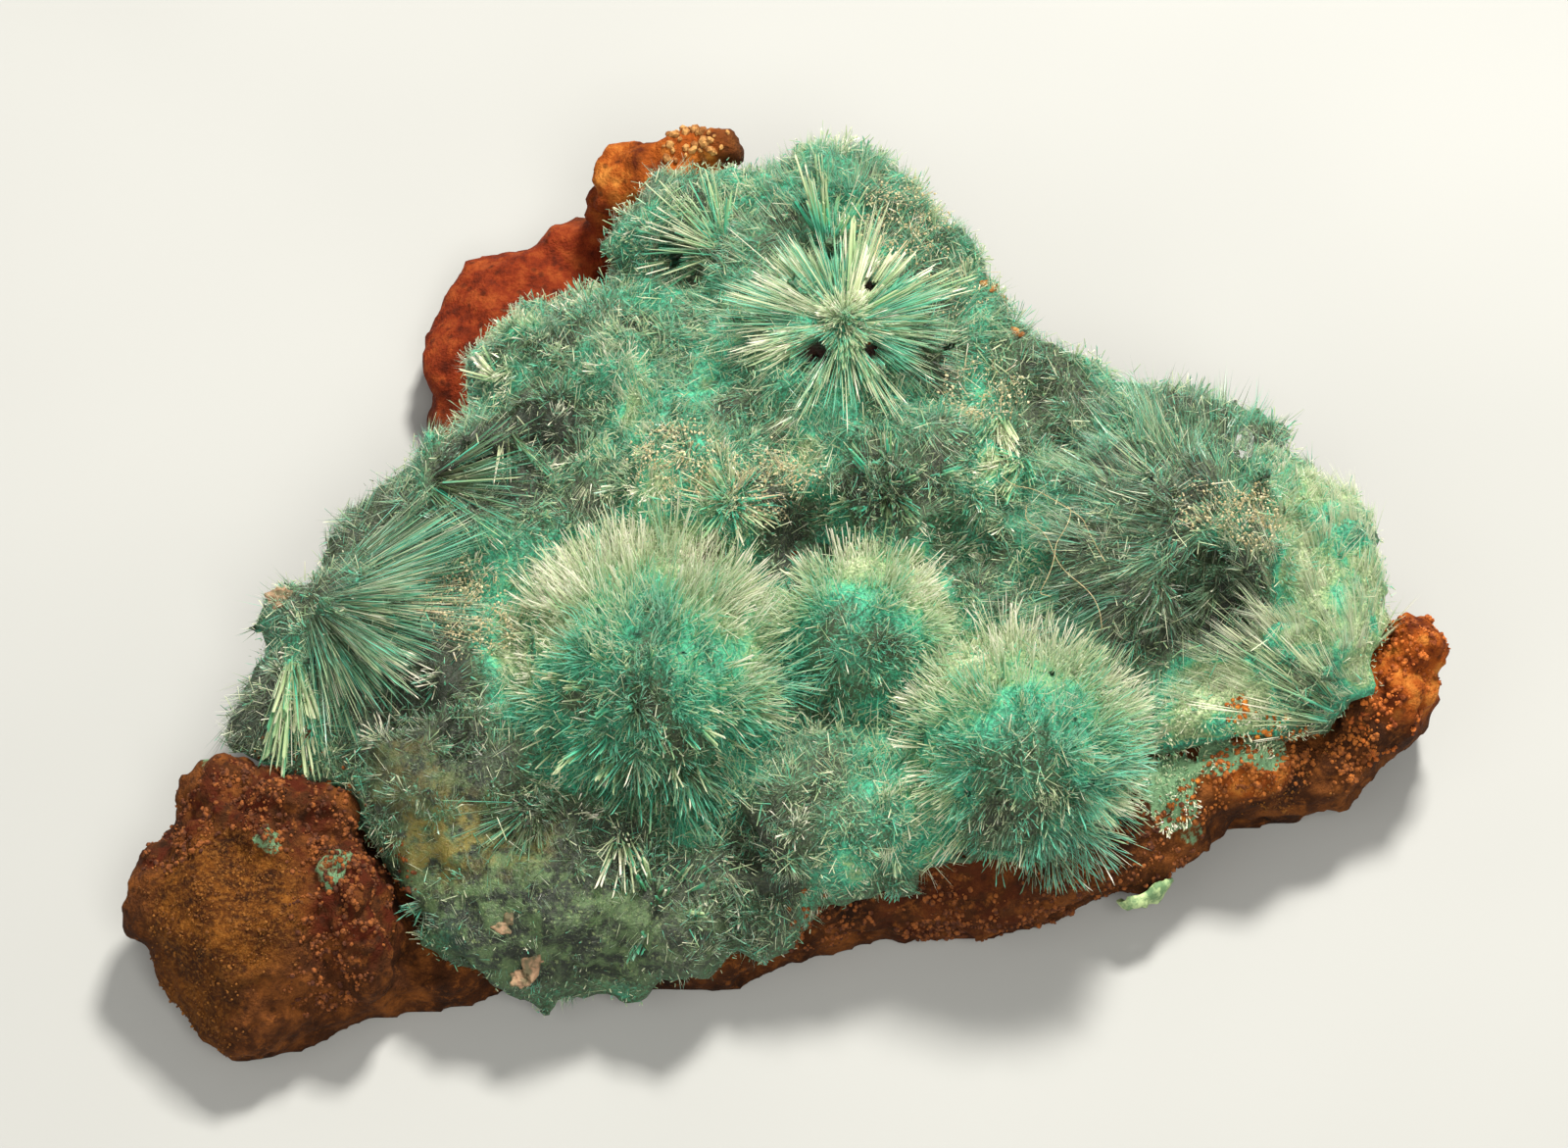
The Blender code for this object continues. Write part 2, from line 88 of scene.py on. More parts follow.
def rough_at(points: Array, grain: float, shift: float = 0.0) -> Array:
    """Look up smooth noise."""
    return np.array([noise.noise(Vector(p)) for p in points / grain + shift])


def cells_at(points: Array, grain: float, shift: float = 0.0) -> Array:
    """Look up how far each place is from the nearest of many strewn points."""
    return np.array([noise.voronoi(Vector(p))[0][0] for p in points / grain + shift])


def layered(points: Array, layers: Layers) -> Array:
    """Add up layers of smooth noise."""
    return sum(rough_at(points, grain, shift) * weight for grain, shift, weight in layers)


@dataclass(frozen=True)
class Knobs:
    """Rounded knobs all over a surface.

    grain is their distance in mm and shift moves their pattern. top is the height of a knob's
    middle in mm, fall how much lower it is a grain away, and edge where the fall ends, in grains.
    """

    grain: float
    top: float
    fall: float
    edge: float
    shift: float = 0.0

    def rise(self, points: Array) -> Array:
        """Say how high the knobs stand at each place, in mm."""
        return self.top - np.minimum(cells_at(points, self.grain, self.shift), self.edge) * self.fall


@dataclass(frozen=True)
class Spot:
    """A round place, its radius in mm, and how strongly it rules there."""

    place: Vec3
    radius: float
    value: float = 1.0

    def weight(self, points: Array, fade: Span) -> Array:
        """Rise from 0 to 1 towards the spot; fade is where that starts and ends, in radii."""
        away = np.linalg.norm(points - np.array(self.place), axis=1)
        return smoothstep(self.radius * fade[0], self.radius * fade[1], away)


def spot_rows(*rows: tuple[float, ...]) -> tuple[Spot, ...]:
    """Read spots from rows of a place, a radius and, where it isn't 1, a value."""
    return tuple(Spot(row[:3], *row[3:]) for row in rows)


def strongest(spots: Iterable[Spot], points: Array, fade: Span) -> Array:
    """Say how strongly places are ruled by whichever spot rules them most.

    Args:
        spots: the spots.
        points: the places in mm.
        fade: where a spot's rule starts and where it is full, in radii.

    Returns:
        A number from 0 up for each place.
    """
    total = np.zeros(len(points))
    for spot in spots:
        total = np.maximum(total, spot.weight(points, fade) * spot.value)
    return total


def small_mostly(rng: Chance, sizes: Span, count: int, power: float = 1.6) -> Array:
    """Pick sizes, the small ones more often."""
    return sizes[0] + (sizes[1] - sizes[0]) * rng.random(count) ** power


def mesh_rows(items: bpy.types.bpy_prop_collection, key: str) -> Array:
    """Read a row of three numbers from each of a mesh's items."""
    flat = np.empty(len(items) * 3, np.float32)
    items.foreach_get(key, flat)
    return flat.reshape(-1, 3).astype(float)


def mesh_points(mesh: bpy.types.Mesh) -> Array:
    """Read a mesh's vertices in mm."""
    return mesh_rows(mesh.vertices, "co") / MM


def mesh_normals(mesh: bpy.types.Mesh) -> Array:
    """Read a mesh's vertex normals."""
    return mesh_rows(mesh.vertex_normals, "vector")


def write_points(mesh: bpy.types.Mesh, points: Array) -> None:
    """Write a mesh's vertices from places in mm."""
    mesh.vertices.foreach_set("co", (points * MM).astype(np.float32).ravel())
    mesh.update()


def write_attribute(mesh: bpy.types.Mesh, name: str, values: Array) -> None:
    """Give a mesh's vertices a named number or vector."""
    kind, slot = ("FLOAT_VECTOR", "vector") if values.ndim == 2 else ("FLOAT", "value")
    attribute = mesh.attributes.new(name, kind, "POINT")
    attribute.data.foreach_set(slot, values.astype(np.float32).ravel())


def new_object(name: str, mesh: bpy.types.ID) -> Thing:
    """Make an object for some data and link it to the scene."""
    obj = bpy.data.objects.new(name, mesh)
    bpy.context.scene.collection.objects.link(obj)
    return obj


def point_cloud(name: str, points: Array, **attributes: Array) -> Thing:
    """Make an object of loose points.

    Args:
        name: the object's name.
        points: places in mm.
        **attributes: numbers or rows of three that the points carry, by name.

    Returns:
        The object.
    """
    mesh = bpy.data.meshes.new(name)
    mesh.vertices.add(len(points))
    write_points(mesh, points)
    for key, values in attributes.items():
        write_attribute(mesh, key, values)
    return new_object(name, mesh)


def mesh_from(bm: bmesh.types.BMesh, name: str) -> bpy.types.Mesh:
    """Turn a bmesh into a mesh and free it."""
    mesh = bpy.data.meshes.new(name)
    bm.to_mesh(mesh)
    bm.free()
    return mesh


def dressed(obj: Thing, material: bpy.types.Material) -> Thing:
    """Give an object its material and smooth shading."""
    obj.data.materials.append(material)
    obj.data.shade_smooth()
    return obj


def settle(obj: Thing) -> Thing:
    """Replace an object's mesh by its evaluated one and drop its modifiers."""
    bpy.context.view_layer.update()
    graph = bpy.context.evaluated_depsgraph_get()
    mesh = bpy.data.meshes.new_from_object(obj.evaluated_get(graph))
    obj.modifiers.clear()
    obj.data = mesh
    return obj


def keep_largest(mesh: bpy.types.Mesh) -> None:
    """Drop every loose bit of a mesh but the largest."""
    bm = bmesh.new()
    bm.from_mesh(mesh)
    bm.verts.ensure_lookup_table()
    left = set(range(len(bm.verts)))
    largest: set[int] = set()
    while left:
        first = left.pop()
        island, edge = {first}, [first]
        while edge:
            vert = bm.verts[edge.pop()]
            near = {link.other_vert(vert).index for link in vert.link_edges} & left
            left -= near
            island |= near
            edge.extend(near)
        largest = max(largest, island, key=len)
    loose = [vert for vert in bm.verts if vert.index not in largest]
    bmesh.ops.delete(bm, geom=loose, context="VERTS")
    bm.to_mesh(mesh)
    bm.free()


def skin_of(node: str, name: str, voxel: float, smooth: int) -> Thing:
    """Melt a copy of a solid into one skin of small cells.

    Args:
        node: the solid's node.
        name: the new object's name.
        voxel: size of the skin's cells in mm.
        smooth: rounds of smoothing.

    Returns:
        The new object.
    """
    bm = bmesh.new()
    bm.from_mesh(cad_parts[node].data)
    bmesh.ops.remove_doubles(bm, verts=bm.verts, dist=MM * 0.001)
    obj = new_object(name, mesh_from(bm, name))
    melt = obj.modifiers.new("melt", "REMESH")
    melt.mode = "VOXEL"
    melt.voxel_size = voxel * MM
    if smooth:
        relax = obj.modifiers.new("relax", "SMOOTH")
        relax.factor = 0.5
        relax.iterations = smooth
    settle(obj)
    keep_largest(obj.data)
    obj.data.materials.clear()
    return obj


class Skin:
    """A closed surface that can be sampled and asked what lies inside it."""

    def __init__(self, mesh: bpy.types.Mesh) -> None:
        """Read the mesh and build its search tree."""
        self.points = mesh_points(mesh)
        mesh.calc_loop_triangles()
        flat = np.empty(len(mesh.loop_triangles) * 3, np.int32)
        mesh.loop_triangles.foreach_get("vertices", flat)
        self.faces = flat.reshape(-1, 3)
        a, b, c = (self.points[self.faces[:, i]] for i in range(3))
        cross = np.cross(b - a, c - a)
        self.areas = np.linalg.norm(cross, axis=1) / 2
        self.normals = unit(cross)
        self.middles = (a + b + c) / 3
        self.tree = BVHTree.FromPolygons(self.points.tolist(), self.faces.tolist())

    def strew(self, rng: Chance, per_mm2: float, weight: Array) -> tuple[Array, Array]:
        """Strew places over the surface.

        Args:
            rng: the source of chance.
            per_mm2: places for each square millimetre where the weight is 1.
            weight: a number from 0 up for each face.

        Returns:
            The places in mm and the surface's normals there.
        """
        share = self.areas * weight
        count = int(share.sum() * per_mm2)
        if count == 0:
            return np.empty((0, 3)), np.empty((0, 3))
        picks = rng.choice(len(share), count, p=share / share.sum())
        u, v = rng.random(count), rng.random(count)
        flip = u + v > 1
        u[flip], v[flip] = 1 - u[flip], 1 - v[flip]
        a, b, c = (self.points[self.faces[picks, i]] for i in range(3))
        spots = a + (b - a) * u[:, None] + (c - a) * v[:, None]
        return spots, self.normals[picks]

    def depth(self, spots: Array) -> Array:
        """Say how deep places lie inside the surface, in mm; outside is negative."""
        return self.nearest(spots)[0]

    def nearest(self, spots: Array) -> tuple[Array, Array]:
        """Say how deep places lie inside the surface and which way it faces there.

        Args:
            spots: places in mm.

        Returns:
            The depths in mm, negative outside, and the normals of the nearest faces.
        """
        depths, normals = np.empty(len(spots)), np.empty((len(spots), 3))
        for i, spot in enumerate(spots):
            place, normal, _, far = self.tree.find_nearest(spot)
            inside = (Vector(spot) - place).dot(normal) < 0
            depths[i] = far if inside else -far
            normals[i] = normal
        return depths, normals


# ------------------------------------------------------------------ node trees
Socket = bpy.types.NodeSocket
Feed = Socket | float | Colour | bpy.types.Material


class Tree:
    """A node tree with short ways to add nodes and links."""

    def __init__(self, tree: bpy.types.NodeTree) -> None:
        """Hold the tree."""
        self.tree = tree

    def add(self, kind: str, settings: dict[str, str | bool] | None = None, **values: Feed) -> bpy.types.Node:
        """Add a node.

        Args:
            kind: the node's type.
            settings: properties of the node.
            **values: values or sockets for its inputs, with _ for a space in their names.

        Returns:
            The node.
        """
        node = self.tree.nodes.new(kind)
        for key, value in (settings or {}).items():
            setattr(node, key, value)
        for key, value in values.items():
            self.put(node.inputs[key.replace("_", " ")], value)
        return node

    def put(self, socket: Socket, value: Feed) -> None:
        """Link a socket to an input, or set the input's value."""
        if isinstance(value, Socket):
            self.tree.links.new(value, socket)
        else:
            socket.default_value = value

    def math(self, operation: str, first: Feed, second: Feed = 0.0, clamp: bool = False) -> Socket:
        """Add a sum of two numbers, kept from 0 to 1 where clamp is on."""
        node = self.add("ShaderNodeMath", {"operation": operation, "use_clamp": clamp})
        self.put(node.inputs[0], first)
        self.put(node.inputs[1], second)
        return node.outputs[0]


class Paint(Tree):
    """The node tree of one material, with its one Principled shader."""

    def __init__(self, name: str, roughness: float, specular: float = 0.5) -> None:
        """Make the material.

        Args:
            name: the material's name.
            roughness: how rough it is, from 0 to 1.
            specular: how strongly it shines, from 0 to 1.
        """
        self.material = bpy.data.materials.new(name)
        self.material.use_nodes = True
        super().__init__(self.material.node_tree)
        self.shader = self.tree.nodes["Principled BSDF"]
        self.shader.inputs["Roughness"].default_value = roughness
        self.shader.inputs["Specular IOR Level"].default_value = specular
        self.place = self.add("ShaderNodeTexCoord").outputs["Object"]

    def noise(self, grain: float, detail: float = 3.0, rough: float = 0.55,
              at: Vec3 = (0.0, 0.0, 0.0), stretch: Vec3 = (1.0, 1.0, 1.0)) -> Socket:
        """Add noise.

        Args:
            grain: size of its bumps in mm.
            detail: how many finer layers it has.
            rough: weight of the finer layers.
            at: moves the pattern, in mm.
            stretch: scale of the pattern along each axis.

        Returns:
            The noise, around 0.5.
        """
        mapping = self.add("ShaderNodeMapping", Vector=self.place)
        mapping.inputs["Location"].default_value = [v * MM for v in at]
        mapping.inputs["Scale"].default_value = stretch
        knobs = {"Scale": 1 / (grain * MM), "Detail": detail, "Roughness": rough}
        return self.add("ShaderNodeTexNoise", Vector=mapping.outputs[0], **knobs).outputs[0]

    def blots(self, low: float, high: float, *noise: float, **more: Vec3) -> Socket:
        """Add noise, as noise() does, cut to blots: 0 where it is below low, and 1 above high."""
        return self.step(self.noise(*noise, **more), low, high)

    def cells(self, grain: float) -> Socket:
        """Add the distance to the nearest of many strewn points, a grain in mm apart."""
        return self.add("ShaderNodeTexVoronoi", Vector=self.place, Scale=1 / (grain * MM)).outputs["Distance"]

    def step(self, value: Socket, low: float, high: float) -> Socket:
        """Turn a number into a smooth step from 0 at low to 1 at high."""
        node = self.add("ShaderNodeMapRange", {"interpolation_type": "SMOOTHSTEP"}, Value=value)
        node.inputs["From Min"].default_value = low
        node.inputs["From Max"].default_value = high
        return node.outputs[0]

    def read(self, name: str) -> Socket:
        """Read a number that the mesh carries."""
        return self.add("ShaderNodeAttribute", {"attribute_name": name}).outputs["Fac"]

    def ramp(self, value: Socket, stops: Stops) -> Socket:
        """Look a number up in a row of colours.

        Args:
            value: the number's socket.
            stops: where each colour lies, and the colour.

        Returns:
            The colour's socket.
        """
        node = self.add("ShaderNodeValToRGB", Fac=value)
        elements = node.color_ramp.elements
        while len(elements) < len(stops):
            elements.new(1.0)
        for element, (place, colour) in zip(elements, stops):
            element.position = place
            element.color = colour
        return node.outputs[0]

    def mix(self, share: Feed, first: Feed, second: Feed, blend: str = "MIX") -> Socket:
        """Mix two colours.

        Args:
            share: the second colour's share.
            first: the first colour.
            second: the second colour.
            blend: how they are mixed.

        Returns:
            The mixed colour.
        """
        node = self.add("ShaderNodeMix", {"data_type": "RGBA", "blend_type": blend})
        self.put(node.inputs[0], share)
        self.put(node.inputs[6], first)
        self.put(node.inputs[7], second)
        return node.outputs[2]

    def veil(self, under: Socket, colour: Colour, share: Feed, most: Feed) -> Socket:
        """Lay a colour over another: at most so thickly, and thinner where the share is small."""
        return self.mix(self.math("MULTIPLY", share, most), under, colour)

    def sum_of(self, *parts: tuple[Socket, float]) -> Socket:
        """Add up two sockets, each times its weight."""
        first, second = (self.math("MULTIPLY", socket, weight) for socket, weight in parts)
        return self.math("ADD", first, second)

    def colour(self, value: Socket) -> None:
        """Give the shader its colour."""
        self.put(self.shader.inputs["Base Color"], value)

    def glow_through(self, share: float, reach: float) -> None:
        """Let light pass through thin crystals."""
        self.shader.inputs["Subsurface Weight"].default_value = share
        self.shader.inputs["Subsurface Radius"].default_value = (0.5, 1.0, 0.6)
        self.shader.inputs["Subsurface Scale"].default_value = reach * MM

    def bump(self, height: Socket, depth: float) -> None:
        """Give the shader a relief."""
        node = self.add("ShaderNodeBump", Height=height, Strength=1.0, Distance=depth * MM)
        self.put(self.shader.inputs["Normal"], node.outputs[0])


# ------------------------------------------------------------------ finishes
# The darkest stops serve the painted shade, and the near-white one the tips of the painted glints.
TONES: Stops = (
    (0.00, srgb(36, 40, 28)),
    (0.08, srgb(74, 86, 60)),
    (0.15, srgb(70, 106, 74)),
    (0.23, srgb(58, 140, 108)),
    (0.32, srgb(60, 168, 134)),
    (0.42, srgb(86, 192, 150)),
    (0.51, srgb(126, 172, 120)),
    (0.60, srgb(152, 178, 128)),
    (0.74, srgb(190, 206, 160)),
    (0.92, srgb(240, 240, 218)),
    (1.00, srgb(196, 182, 140)),
)


@dataclass(frozen=True)
class NeedleFinish:
    """Aurichalcite crystals: one row of colours, from deep teal over pale silk to dusty tan.

    foot_shade is the light left at a crystal's foot, a painted shade, and lift how much paler its tip is,
    partly its own paler tip and partly painted light.
    """

    name: str = "aurichalcite_needles"
    roughness: float = 0.36
    specular: float = 0.6
    foot_shade: float = 0.72
    see_through: float = 0.5
    light_reach: float = 0.5
    lift: float = 0.22
    own_tone_at: float = 0.55

    def make(self) -> bpy.types.Material:
        """Build the material: the colour is read from each crystal, its foot is darkened by painted shade,
        and its tip is paler, partly by painted light.
        """
        paint = Paint(self.name, self.roughness, self.specular)
        along = paint.read("along")
        lift = paint.math("MULTIPLY", paint.math("SUBTRACT", along, self.own_tone_at), self.lift)
        body = paint.ramp(paint.math("ADD", paint.read("tone"), lift, True), TONES)
        light = paint.step(along, -0.25, 0.8)
        shade = paint.add("ShaderNodeMapRange", Value=light, To_Min=self.foot_shade, To_Max=1.0).outputs[0]
        grey = paint.add("ShaderNodeCombineColor", Red=shade, Green=shade, Blue=shade).outputs[0]
        paint.colour(paint.mix(1.0, body, grey, "MULTIPLY"))
        paint.glow_through(self.see_through, self.light_reach)
        return paint.material


@dataclass(frozen=True)
class CrustFinish:
    """The crust's body: a soft mass of fibres in the crystals' own tones darkened by painted shade, with
    painted shadow in its low parts, glassy where it is bare.
    """

    name: str = "aurichalcite_crust"
    roughness: float = 0.5
    shadow: Colour = srgb(30, 54, 40)
    pit: Colour = srgb(46, 22, 12)
    bare_dark: Colour = srgb(22, 33, 22)
    bare_pale: Colour = srgb(80, 104, 66)
    fleck: Colour = srgb(126, 144, 96)
    yellow: Colour = srgb(120, 110, 50)
    see_through: float = 0.4
    light_reach: float = 0.7
    relief: float = 0.3

    def make(self) -> bpy.types.Material:
        """Build the material."""
        paint = Paint(self.name, self.roughness)
        fuzz = paint.noise(0.16, 3.0, 0.7)
        fine = paint.math("MULTIPLY", paint.math("SUBTRACT", fuzz, 0.5), 0.5)
        soft = paint.ramp(paint.math("ADD", paint.read("tone"), fine, True), TONES)
        soft = paint.mix(paint.step(fuzz, 0.62, 0.38), soft, paint.mix(0.5, soft, self.shadow))
        bare = paint.mix(paint.blots(0.43, 0.6, 1.2, 6.0, 0.7), self.bare_dark, self.bare_pale)
        bare = paint.veil(bare, self.fleck, paint.blots(0.56, 0.68, 0.22, 3.0, 0.7), 0.7)
        stain = paint.blots(0.38, 0.62, 0.8, 4.0, 0.6, at=(3.0, 1.0, 2.0))
        bare = paint.veil(bare, self.yellow, paint.read("yellow"), stain)
        colour = paint.mix(paint.read("bare"), soft, bare)
        paint.colour(paint.mix(paint.read("pit"), colour, self.pit))
        paint.glow_through(self.see_through, self.light_reach)
        paint.bump(paint.sum_of((fuzz, 0.5), (paint.noise(0.5), 0.5)), self.relief)
        return paint.material


@dataclass(frozen=True)
class LimoniteFinish:
    """Limonite: brown rock with ochre earth, rust and red-orange faces.

    rock, earth, flame and brick are rows of colours, each looked up in a noise of its own.
    """

    name: str = "limonite"
    roughness: float = 0.82
    specular: float = 0.12
    relief: float = 0.36
    dark: Colour = srgb(34, 17, 7)
    tawny: Colour = srgb(118, 68, 28)
    rust: Colour = srgb(70, 25, 8)
    sand: Colour = srgb(146, 96, 40)
    pore: Colour = srgb(30, 13, 4)
    film: Colour = srgb(104, 138, 104)
    rock: Stops = ((0.34, srgb(34, 17, 7)), (0.5, srgb(68, 36, 14)), (0.66, srgb(118, 68, 28)))
    earth: Stops = ((0.34, srgb(34, 15, 4)), (0.47, srgb(66, 33, 5)), (0.64, srgb(112, 66, 18)))
    flame: Stops = ((0.35, srgb(78, 30, 8)), (0.52, srgb(146, 72, 20)), (0.7, srgb(190, 122, 52)))
    brick: Stops = ((0.32, srgb(70, 22, 8)), (0.5, srgb(114, 40, 14)), (0.75, srgb(152, 74, 32)))

    def make(self) -> bpy.types.Material:
        """Build the material from the zones that the rock's mesh carries."""
        paint = Paint(self.name, self.roughness, self.specular)
        fine = paint.noise(0.55, 5.0, 0.7)
        rock = paint.ramp(paint.noise(2.6, 6.0, 0.65), self.rock)
        rock = paint.mix(paint.step(fine, 0.5, 0.72), rock, self.tawny)
        rock = paint.veil(rock, self.rust, paint.read("rust"),
                          paint.blots(0.4, 0.6, 1.1, 4.0, 0.6, at=(5.0, 2.0, 1.0)))
        earth = paint.ramp(paint.noise(1.3, 6.0, 0.75, stretch=(1.0, 1.5, 1.0)), self.earth)
        earth = paint.veil(earth, self.sand, paint.blots(0.46, 0.66, 0.2, 3.0, 0.7, at=(4.0, 4.0, 4.0)), 0.4)
        earth = paint.veil(earth, self.pore, paint.blots(0.44, 0.3, 0.26, 3.0, 0.7, at=(9.0, 1.0, 3.0)), 0.7)
        rock = paint.mix(paint.read("ochre"), rock, earth)
        rock = paint.mix(paint.read("orange"), rock, paint.ramp(paint.noise(1.4, 5.0, 0.6), self.flame))
        rock = paint.mix(paint.read("red"), rock, paint.ramp(paint.noise(1.0, 5.0, 0.65), self.brick))
        rock = paint.veil(rock, self.dark, paint.step(paint.cells(0.8), 0.28, 0.12), 0.5)
        patchy = paint.math("ADD", paint.read("film"), paint.math("SUBTRACT", fine, 0.5))
        paint.colour(paint.mix(paint.step(patchy, 0.5, 0.68), rock, self.film))
        paint.bump(paint.sum_of((fine, 0.6), (paint.noise(0.16), 0.4)), self.relief)
        return paint.material


@dataclass(frozen=True)
class GrainFinish:
    """Loose or grown grains of one kind, mottled from grain to grain."""

    name: str
    dark: Colour
    pale: Colour
    roughness: float = 0.85
    specular: float = 0.35
    relief: float = 0.03

    def make(self) -> bpy.types.Material:
        """Build the material."""
        paint = Paint(self.name, self.roughness, self.specular)
        paint.colour(paint.mix(paint.blots(0.38, 0.64, 0.45), self.dark, self.pale))
        paint.bump(paint.noise(0.1, 2.0), self.relief)
        return paint.material


@dataclass(frozen=True)
class ClearFinish:
    """Clear crystal, faintly clouded."""

    name: str = "clear_crystal"
    roughness: float = 0.05
    index: float = 1.54
    clear: Colour = srgb(250, 252, 250)
    cloudy: Colour = srgb(214, 226, 216)

    def make(self) -> bpy.types.Material:
        """Build the material."""
        paint = Paint(self.name, self.roughness)
        paint.colour(paint.mix(paint.blots(0.4, 0.7, 0.3), self.clear, self.cloudy))
        paint.shader.inputs["Transmission Weight"].default_value = 1.0
        paint.shader.inputs["IOR"].default_value = self.index
        return paint.material


@dataclass(frozen=True)
class FloorFinish:
    """The pale floor."""

    name: str = "pale_floor"
    roughness: float = 0.9
    specular: float = 0.2
    dim: Colour = srgb(156, 158, 158)
    pale: Colour = srgb(160, 162, 162)

    def make(self) -> bpy.types.Material:
        """Build the material."""
        paint = Paint(self.name, self.roughness, self.specular)
        paint.colour(paint.mix(paint.blots(0.3, 0.7, 40.0, 2.0), self.dim, self.pale))
        return paint.material


# ------------------------------------------------------------------ crystals as points
@dataclass
class Crystals:
    """A set of crystals, one row each: foot, way, length and width in mm, and tone from 0 to 1.

    form is a row's place in Form.
    """

    foot: Array
    way: Array
    length: Array
    width: Array
    tone: Array
    form: Array

    def __len__(self) -> int:
        """Count the crystals."""
        return len(self.length)

    def pick(self, rows: Array) -> "Crystals":
        """Take some of the crystals."""
        return Crystals(*(column[rows] for column in vars(self).values()))

    def at(self, share: float) -> Array:
        """Say where the crystals are, a share of their length up from the foot."""
        return self.foot + self.way * (self.length * share)[:, None]

    @property
    def tips(self) -> Array:
        """The crystals' tips."""
        return self.at(1.0)

    @classmethod
    def of(cls, form: "Form", *columns: Array) -> "Crystals":
        """Make a set of one form from its feet, ways, lengths, widths and tones."""
        return cls(*columns, np.full(len(columns[0]), list(Form).index(form)))

    @staticmethod
    def join(sets: Iterable["Crystals"]) -> "Crystals":
        """Put sets of crystals together."""
        return Crystals(*map(np.concatenate, zip(*(vars(crystals).values() for crystals in sets))))


class Form(Enum):
    """Forms of crystal: how many sides, then the width at the root and at the tip."""

    NEEDLE = (3, 1.0, 0.0)
    BLUNT = (3, 0.0, 1.0)
    LATH = (4, 0.75, 0.5)


class GrowTree(Tree):
    """A Geometry Nodes tree that grows a mesh from points or paths."""

    NAME: ClassVar[str] = ""
    INPUTS: ClassVar[tuple[tuple[str, str], ...]] = ()

    def __init__(self) -> None:
        """Build the tree, with named inputs for its sizes and its finish."""
        super().__init__(bpy.data.node_groups.new(self.NAME, "GeometryNodeTree"))
        interface = self.tree.interface
        interface.new_socket("Geometry", in_out="INPUT", socket_type="NodeSocketGeometry")
        sockets = {name: interface.new_socket(name, in_out="INPUT", socket_type=f"NodeSocket{kind}")
                   for name, kind in self.INPUTS}
        self.keys = {name: socket.identifier for name, socket in sockets.items()}
        interface.new_socket("Geometry", in_out="OUTPUT", socket_type="NodeSocketGeometry")
        given = self.add("NodeGroupInput").outputs
        flat = self.add("GeometryNodeSetShadeSmooth", Geometry=self.grown(given), Shade_Smooth=False)
        finished = self.add("GeometryNodeSetMaterial", Geometry=flat.outputs[0], Material=given["Finish"])
        self.add("NodeGroupOutput", Geometry=finished.outputs[0])

    def grown(self, given: Inputs) -> Socket:
        """Grow the mesh from what the tree is given."""
        raise NotImplementedError

    def named(self, name: str, kind: str = "FLOAT") -> Socket:
        """Read a named attribute."""
        return self.add("GeometryNodeInputNamedAttribute", {"data_type": kind}, Name=name).outputs[0]

    def store(self, geometry: Socket, name: str, value: Feed, settings: dict[str, str]) -> Socket:
        """Store a named attribute on a geometry and return it."""
        more = {"Geometry": geometry, "Name": name, "Value": value}
        return self.add("GeometryNodeStoreNamedAttribute", settings, **more).outputs[0]

    def grow_on(self, obj: Thing, values: dict) -> Thing:
        """Run the tree on an object and keep the result as its mesh.

        Args:
            obj: the object, with its points or paths.
            values: a value for each of the tree's inputs.

        Returns:
            The object, as a plain mesh.
        """
        nodes = obj.modifiers.new("grow", "NODES")
        nodes.node_group = self.tree
        for key, value in values.items():
            nodes[self.keys[key]] = value
        return settle(obj)


class GrainTree(GrowTree):
    """Puts a rough grain on every point."""

    NAME = "grow grains"
    INPUTS = (("Radius", "Float"), ("Finish", "Material"))

    def grown(self, given: Inputs) -> Socket:
        """Put a grain of a few faces on every point and make them real."""
        grain = self.add("GeometryNodeMeshIcoSphere", Radius=given["Radius"], Subdivisions=1).outputs["Mesh"]
        many = self.add("GeometryNodeInstanceOnPoints", Points=given["Geometry"], Instance=grain,
                        Rotation=self.named("turn", "FLOAT_VECTOR"), Scale=self.named("size", "FLOAT_VECTOR"))
        return self.add("GeometryNodeRealizeInstances", Geometry=many.outputs[0]).outputs[0]


class FibreTree(GrowTree):
    """Turns paths of edges into thin round fibres."""

    NAME = "draw fibres"
    INPUTS = (("Radius", "Float"), ("Finish", "Material"))

    def grown(self, given: Inputs) -> Socket:
        """Sweep a small ring along every path and close its ends."""
        paths = self.add("GeometryNodeMeshToCurve", Mesh=given["Geometry"]).outputs[0]
        ring = self.add("GeometryNodeCurvePrimitiveCircle", Resolution=5, Radius=given["Radius"]).outputs[0]
        swept = self.add("GeometryNodeCurveToMesh", Curve=paths, Profile_Curve=ring, Fill_Caps=True)
        return self.add("GeometryNodeRealizeInstances", Geometry=swept.outputs[0]).outputs[0]


